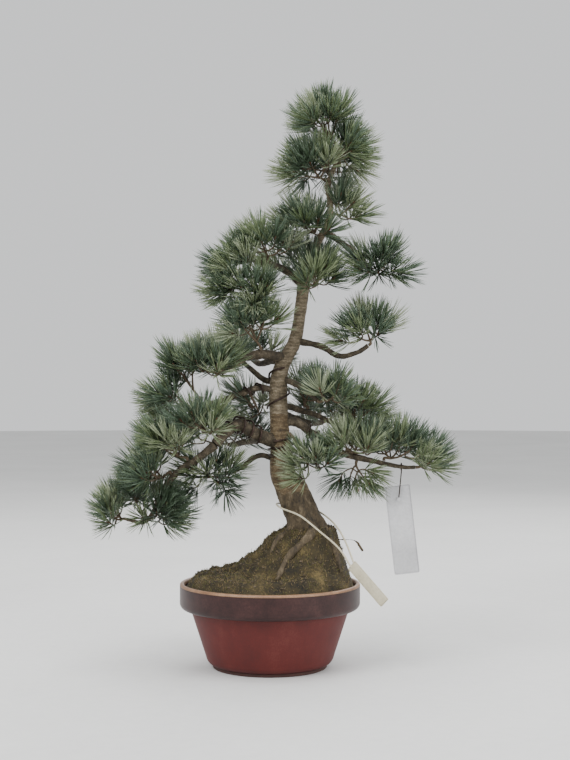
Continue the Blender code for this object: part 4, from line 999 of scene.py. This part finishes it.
twig_tubes, bud_tubes = [], []
brushes = []
shoot_rng = random.Random(5)
for k, name in enumerate(MASSES):
    stem, shoots = grow_mass(name, FIRST_SEED + k)
    stem_line = smooth_line(stem, 4)
    twig_tubes.append(tube_arrays(stem_line, taper(STEM_RADIUS, TWIG_RADIUS, stem_line), 7))
    hub = stem[-1]
    for base, aim in shoots:
        bend = hub.lerp(base, 0.55) - aim * 0.004
        twig_line = smooth_line([hub, bend, base], 4)
        twig_tubes.append(tube_arrays(twig_line, taper(TWIG_RADIUS, TWIG_TIP_RADIUS, twig_line), 6))
        for fork, tip, way in fine_shoots(base, aim, shoot_rng):
            end = tip + way * BRUSH_LENGTH * 0.8
            line = smooth_line([fork, tip, end], 3)
            twig_tubes.append(tube_arrays(line, taper(FORK_RADIUS, FORK_TIP_RADIUS, line), 5))
            bud_line = [end + way * distance for distance in BUD_PLACES]
            bud_tubes.append(tube_arrays(bud_line, BUD_RADII, 6))
            brushes.append((tip, way))
twigs = joined_tubes("twigs", twig_tubes, twig_skin)
buds = joined_tubes("buds", bud_tubes, bud_skin)
print(len(brushes), "brushes")


# %% Needles
WIDEST_LEAN = 66
LEAN_CHANGE = 52
LEAN_SPREAD = 5.0
NEEDLE_FAN = 0.085
UPWARD_BEND = (0.10, 0.28)
TWIG_SKIN = 0.0007
LIMB_ROOM = 0.0008
LABEL_ROOM = 0.0015


def needle_arrays():
    """Roots, ways, bends, lengths and tint numbers of all needles, brush by brush and bundle by bundle."""
    draw = np.random.default_rng(11)
    roots, ways, bends, lengths, tints = [], [], [], [], []
    for tip, way in brushes:
        aim = np.array(way)
        side = np.array(way.orthogonal().normalized())
        back = np.cross(aim, side)
        tone = draw.uniform()
        brush_size = draw.uniform(0.90, 1.08)
        turn = draw.uniform(0.0, math.tau)
        for bundle in range(BUNDLES):
            share = (bundle + 0.5) / BUNDLES
            lean = math.radians(WIDEST_LEAN - LEAN_CHANGE * share + draw.normal(0.0, LEAN_SPREAD))
            angle = turn + bundle * GOLDEN_ANGLE + draw.normal(0.0, 0.15)
            out = side * math.cos(angle) + back * math.sin(angle)
            middle = aim * math.cos(lean) + out * math.sin(lean)
            root = np.array(tip) + aim * (BRUSH_LENGTH * share) + out * TWIG_SKIN
            reach = NEEDLE_LENGTH * brush_size * draw.uniform(0.88, 1.04)
            for _ in range(NEEDLES_IN_BUNDLE):
                spread = draw.normal(0.0, NEEDLE_FAN, 3)
                direction = middle + spread
                direction /= np.linalg.norm(direction)
                rise = aim - direction * aim.dot(direction)
                roots.append(root)
                ways.append(direction)
                bends.append(rise * draw.uniform(*UPWARD_BEND) + draw.normal(0.0, 0.03, 3))
                lengths.append(reach * draw.uniform(0.92, 1.04))
                tints.append(tone + draw.normal(0.0, 0.10))
    return [np.array(values) for values in (roots, ways, bends, lengths, tints)]


def touches(points):
    """True for each point inside a limb or near one of the labels."""
    hit = np.zeros(len(points), dtype=bool)
    for limb in limbs.values():
        for first, second, a, b in zip(limb.line, limb.line[1:], limb.radii, limb.radii[1:]):
            start, along = np.array(first), np.array(second - first)
            t = np.clip((points - start) @ along / (along @ along), 0.0, 1.0)
            hit |= np.linalg.norm(points - start - t[:, None] * along, axis=1) < max(a, b) + LIMB_ROOM
    for node in ("hang_tag", "trunk_label"):
        low, high = (np.array(corner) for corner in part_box(node))
        hit |= np.all((points > low - LABEL_ROOM) & (points < high + LABEL_ROOM), axis=1)
    return hit


roots, ways, bends, lengths, tints = needle_arrays()
kept = np.ones(len(roots), dtype=bool)
for share in (0.35, 0.65, 1.0):
    kept &= ~touches(roots + ways * (lengths * share)[:, None] + bends * (lengths * share ** 2)[:, None])
print(int(kept.sum()), "needles of", len(kept))
TINT_BOUNDS = (("deep", -9.0, 0.22), ("blue", 0.22, 0.50), ("green", 0.50, 0.74), ("pale", 0.74, 0.93),
               ("bright", 0.93, 9.0))
mass_names = list(MASSES)
for number, (tint, low, high) in enumerate(TINT_BOUNDS):
    chosen = np.nonzero(kept & (tints >= low) & (tints < high))[0]
    widths = np.full(len(chosen), NEEDLE_WIDTH)
    arrays = blades(roots[chosen], ways[chosen], bends[chosen], lengths[chosen], widths, number)
    piece = array_piece("needles_" + tint, *arrays, tint_materials[tint])
    stand_for(piece, "needles", *mass_names)
    print(piece.name, len(arrays[1]), "triangles")
stand_for(twigs, "needles", *mass_names)
stand_for(buds, "needles", *mass_names)

# %% [markdown]
# ## Training wires
# Annealed dark wire is wound round trunk and boughs to set their bends. By hand it would be a curve wound
# round each limb. Each is a helix here, because its turns then keep the same distance from the bark.

# %% Wires
WIRE_RADIUS = 0.0014
WIRE_TURN_POINTS = 28
WIRES = {
    "coil_left_bough": ("bough_left_low", 0.30, 0.74, 3.5, 0.0017, "wire_left_bough"),
    "coil_right_bough": ("bough_right_low", 0.20, 0.44, 3.0, 0.0017, "wire_right_bough"),
    "coil_trunk": ("trunk", 0.225, 0.268, 2.6, 0.0012, None),
    "coil_trunk_high": ("trunk", 0.34, 0.44, 1.3, 0.0012, None),
    "coil_left_thin": ("bough_left_thin", 0.18, 0.55, 2.6, 0.0010, None),
}


def coil_line(limb, start, end, turns, clearance):
    count = int(turns * WIRE_TURN_POINTS) + 1
    line = []
    for k in range(count):
        t = k / (count - 1)
        center, along, radius = limb.at(start + (end - start) * t)
        side = along.cross(Vector((0.0, 1.0, 0.0))).normalized()
        back = along.cross(side)
        angle = turns * math.tau * t
        line.append(center + (side * math.cos(angle) + back * math.sin(angle)) * (radius + clearance))
    return line


for name, (limb_name, start, end, turns, clearance, node) in WIRES.items():
    line = coil_line(limbs[limb_name], start, end, turns, WIRE_RADIUS + clearance)
    piece = joined_tubes(name, [tube_arrays(line, [WIRE_RADIUS] * len(line), 12)], wire_metal)
    stand_for(piece, "wire", *([node] if node else []))
print(len(WIRES), "wires")

# %% [markdown]
# ## Labels
# The hanging plate is a thin card of plastic with rounded corners, punched for its wire. The strip on the
# trunk is a softer plastic on a pale band that runs round the trunk's foot. Both are blank. A card is a cube
# made thin and bevelled, as by hand.

# %% Label sizes
TAG_WIDTH = 0.033
TAG_HEIGHT = 0.117
TAG_THICKNESS = 0.0008
TAG_CORNER = 0.0022
TAG_TOP = Vector((0.168, -0.019, 0.242))
TAG_LEAN = math.radians(-6.5)
TAG_HOLE_RADIUS = 0.0024
TAG_HOLE_DROP = 0.018
TAG_WIRE_RADIUS = 0.0008
TAG_SHARE = 0.905
LABEL_WIDTH = 0.015
LABEL_LENGTH = 0.066
LABEL_THICKNESS = 0.0014
LABEL_TOP = Vector((0.1060, -0.0620, 0.1430))
LABEL_FOOT = Vector((0.1500, -0.0880, 0.0940))
BAND_RADIUS = 0.0012
BAND_ROOM = 0.0024
BAND_FRONT = ((0.090, -0.055, 0.163), (0.066, -0.041, 0.183), (0.040, -0.032, 0.203))
BAND_ROUND = ((215, 0.212), (165, 0.216), (110, 0.214), (55, 0.208), (10, 0.202))
BAND_REAR = ((0.086, -0.012, 0.190), (0.098, -0.030, 0.172))
EDGE_ROUND = 0.0002


# %% Cards
def card(name, size, corner, middle, axes, material):
    """A cube made thin, its corners rounded, set along the given axes with its place in the mesh."""
    bpy.ops.object.select_all(action="DESELECT")
    bpy.ops.mesh.primitive_cube_add(size=1.0, location=(0.0, 0.0, 0.0))
    piece = bpy.context.active_object
    piece.name = name
    bpy.ops.object.mode_set(mode="EDIT")
    bpy.ops.mesh.select_all(action="SELECT")
    bpy.ops.transform.resize(value=size, center_override=(0.0, 0.0, 0.0))
    bpy.ops.object.mode_set(mode="OBJECT")
    for edge in piece.data.edges:
        first, second = (piece.data.vertices[k].co for k in edge.vertices)
        edge.select = abs(first.y - second.y) > size[1] / 2
    bpy.ops.object.mode_set(mode="EDIT")
    bpy.ops.mesh.select_mode(type="EDGE")
    bpy.ops.mesh.bevel(offset=corner, segments=6)
    bpy.ops.object.mode_set(mode="OBJECT")
    soften_edges = piece.modifiers.new("edges", "BEVEL")
    soften_edges.width = EDGE_ROUND
    soften_edges.segments = 2
    bpy.ops.object.modifier_apply(modifier="edges")
    across, through, along = axes
    for vert in piece.data.vertices:
        vert.co = middle + across * vert.co.x + through * vert.co.y + along * vert.co.z
    bpy.ops.object.shade_smooth_by_angle(angle=math.radians(35))
    piece.data.materials.append(material)
    return piece


tag_down = Vector((-math.sin(TAG_LEAN), 0.0, -math.cos(TAG_LEAN)))
tag_across = Vector((math.cos(TAG_LEAN), 0.0, -math.sin(TAG_LEAN)))
tag_card = card("tag_card", (TAG_WIDTH, TAG_THICKNESS, TAG_HEIGHT), TAG_CORNER,
                TAG_TOP + tag_down * (TAG_HEIGHT / 2),
                (tag_across, Vector((0.0, 1.0, 0.0)), -tag_down), plate_face)
eye = TAG_TOP + tag_down * TAG_HOLE_DROP
bpy.ops.object.select_all(action="DESELECT")
bpy.ops.mesh.primitive_cylinder_add(vertices=32, radius=TAG_HOLE_RADIUS, depth=0.01, location=eye,
                                    rotation=(math.pi / 2, 0.0, 0.0))
punch = bpy.context.active_object
punched = tag_card.modifiers.new("hole", "BOOLEAN")
punched.operation = "DIFFERENCE"
punched.object = punch
bpy.ops.object.select_all(action="DESELECT")
bpy.context.view_layer.objects.active = tag_card
tag_card.select_set(True)
bpy.ops.object.modifier_apply(modifier="hole")
bpy.data.objects.remove(punch)
stand_for(tag_card, "plate", "hang_tag")

# %% Tag wire
LOOP_ROOM = 0.0012
LOOP_POINTS = 9
center, along, radius = limbs["bough_right_low"].at(TAG_SHARE)
round_radius = radius + TAG_WIRE_RADIUS + LOOP_ROOM
side = along.cross(Vector((0.0, 0.0, 1.0))).normalized()
line = []
for k in range(LOOP_POINTS):
    angle = math.radians(-60 + 275 * k / (LOOP_POINTS - 1))
    out = Vector((0, 0, 1)) * math.cos(angle) - side * math.sin(angle)
    line.append(center + out * round_radius)
front = eye + Vector((0.0, -0.004, 0.003))
line.append(line[-1].lerp(front, 0.35) + Vector((0.0, -0.001, 0.0)))
line.append(line[-2].lerp(front, 0.75) + Vector((0.0, -0.001, 0.0)))
line += [front, eye, eye + Vector((0.0, 0.003, 0.0015)), eye + Vector((0.0, 0.003, 0.008))]
line = smooth_line(line, 6)
loop_tube = tube_arrays(line, [TAG_WIRE_RADIUS] * len(line), 10)
stand_for(joined_tubes("tag_loop", [loop_tube], wire_metal), "wire", "tag_wire")


# %% Trunk label
def trunk_at_height(height):
    rough = limbs["trunk"]
    k = next(k for k, point in enumerate(rough.line) if point.z > height)
    low, high = rough.line[k - 1], rough.line[k]
    t = (height - low.z) / (high.z - low.z)
    return low.lerp(high, t), rough.radii[k - 1] + t * (rough.radii[k] - rough.radii[k - 1])


label_down = (LABEL_FOOT - LABEL_TOP).normalized()
label_across = label_down.cross(Vector((0.35, 1.0, 0.25))).normalized()
label_card = card("label_card", (LABEL_WIDTH, LABEL_THICKNESS, LABEL_LENGTH), 0.0016,
                  LABEL_TOP + label_down * (LABEL_LENGTH / 2),
                  (label_across, label_across.cross(label_down), label_down), label_face)
stand_for(label_card, "label", "trunk_label")
ring = []
for turn, height in BAND_ROUND:
    center, radius = trunk_at_height(height)
    reach = radius * 1.12 + BAND_RADIUS + BAND_ROOM
    ring.append(center + Vector((math.cos(math.radians(turn)), math.sin(math.radians(turn)), 0.0)) * reach)
end_a = LABEL_TOP - label_across * 0.003 + label_down * 0.003
end_b = LABEL_TOP + label_across * 0.003 + label_down * 0.003
front = [end_a] + [Vector(place) for place in BAND_FRONT]
rear = [Vector(place) for place in BAND_REAR] + [end_b]
line = smooth_line(front + ring + rear, 10)
band_tube = tube_arrays(line, [BAND_RADIUS] * len(line), 12)
stand_for(joined_tubes("label_band", [band_tube], label_face), "label", "trunk_label")
print("labels made")

# %% [markdown]
# ## Floor
# A wide pale disc, for the shadow under the pot only.

# %% Floor
bpy.ops.object.select_all(action="DESELECT")
bpy.ops.mesh.primitive_circle_add(vertices=96, radius=9.0, fill_type="NGON", location=(0.0, 0.0, 0.0))
floor = bpy.context.active_object
floor.name = "floor"
floor.data.materials.append(floor_face)
print("floor laid")
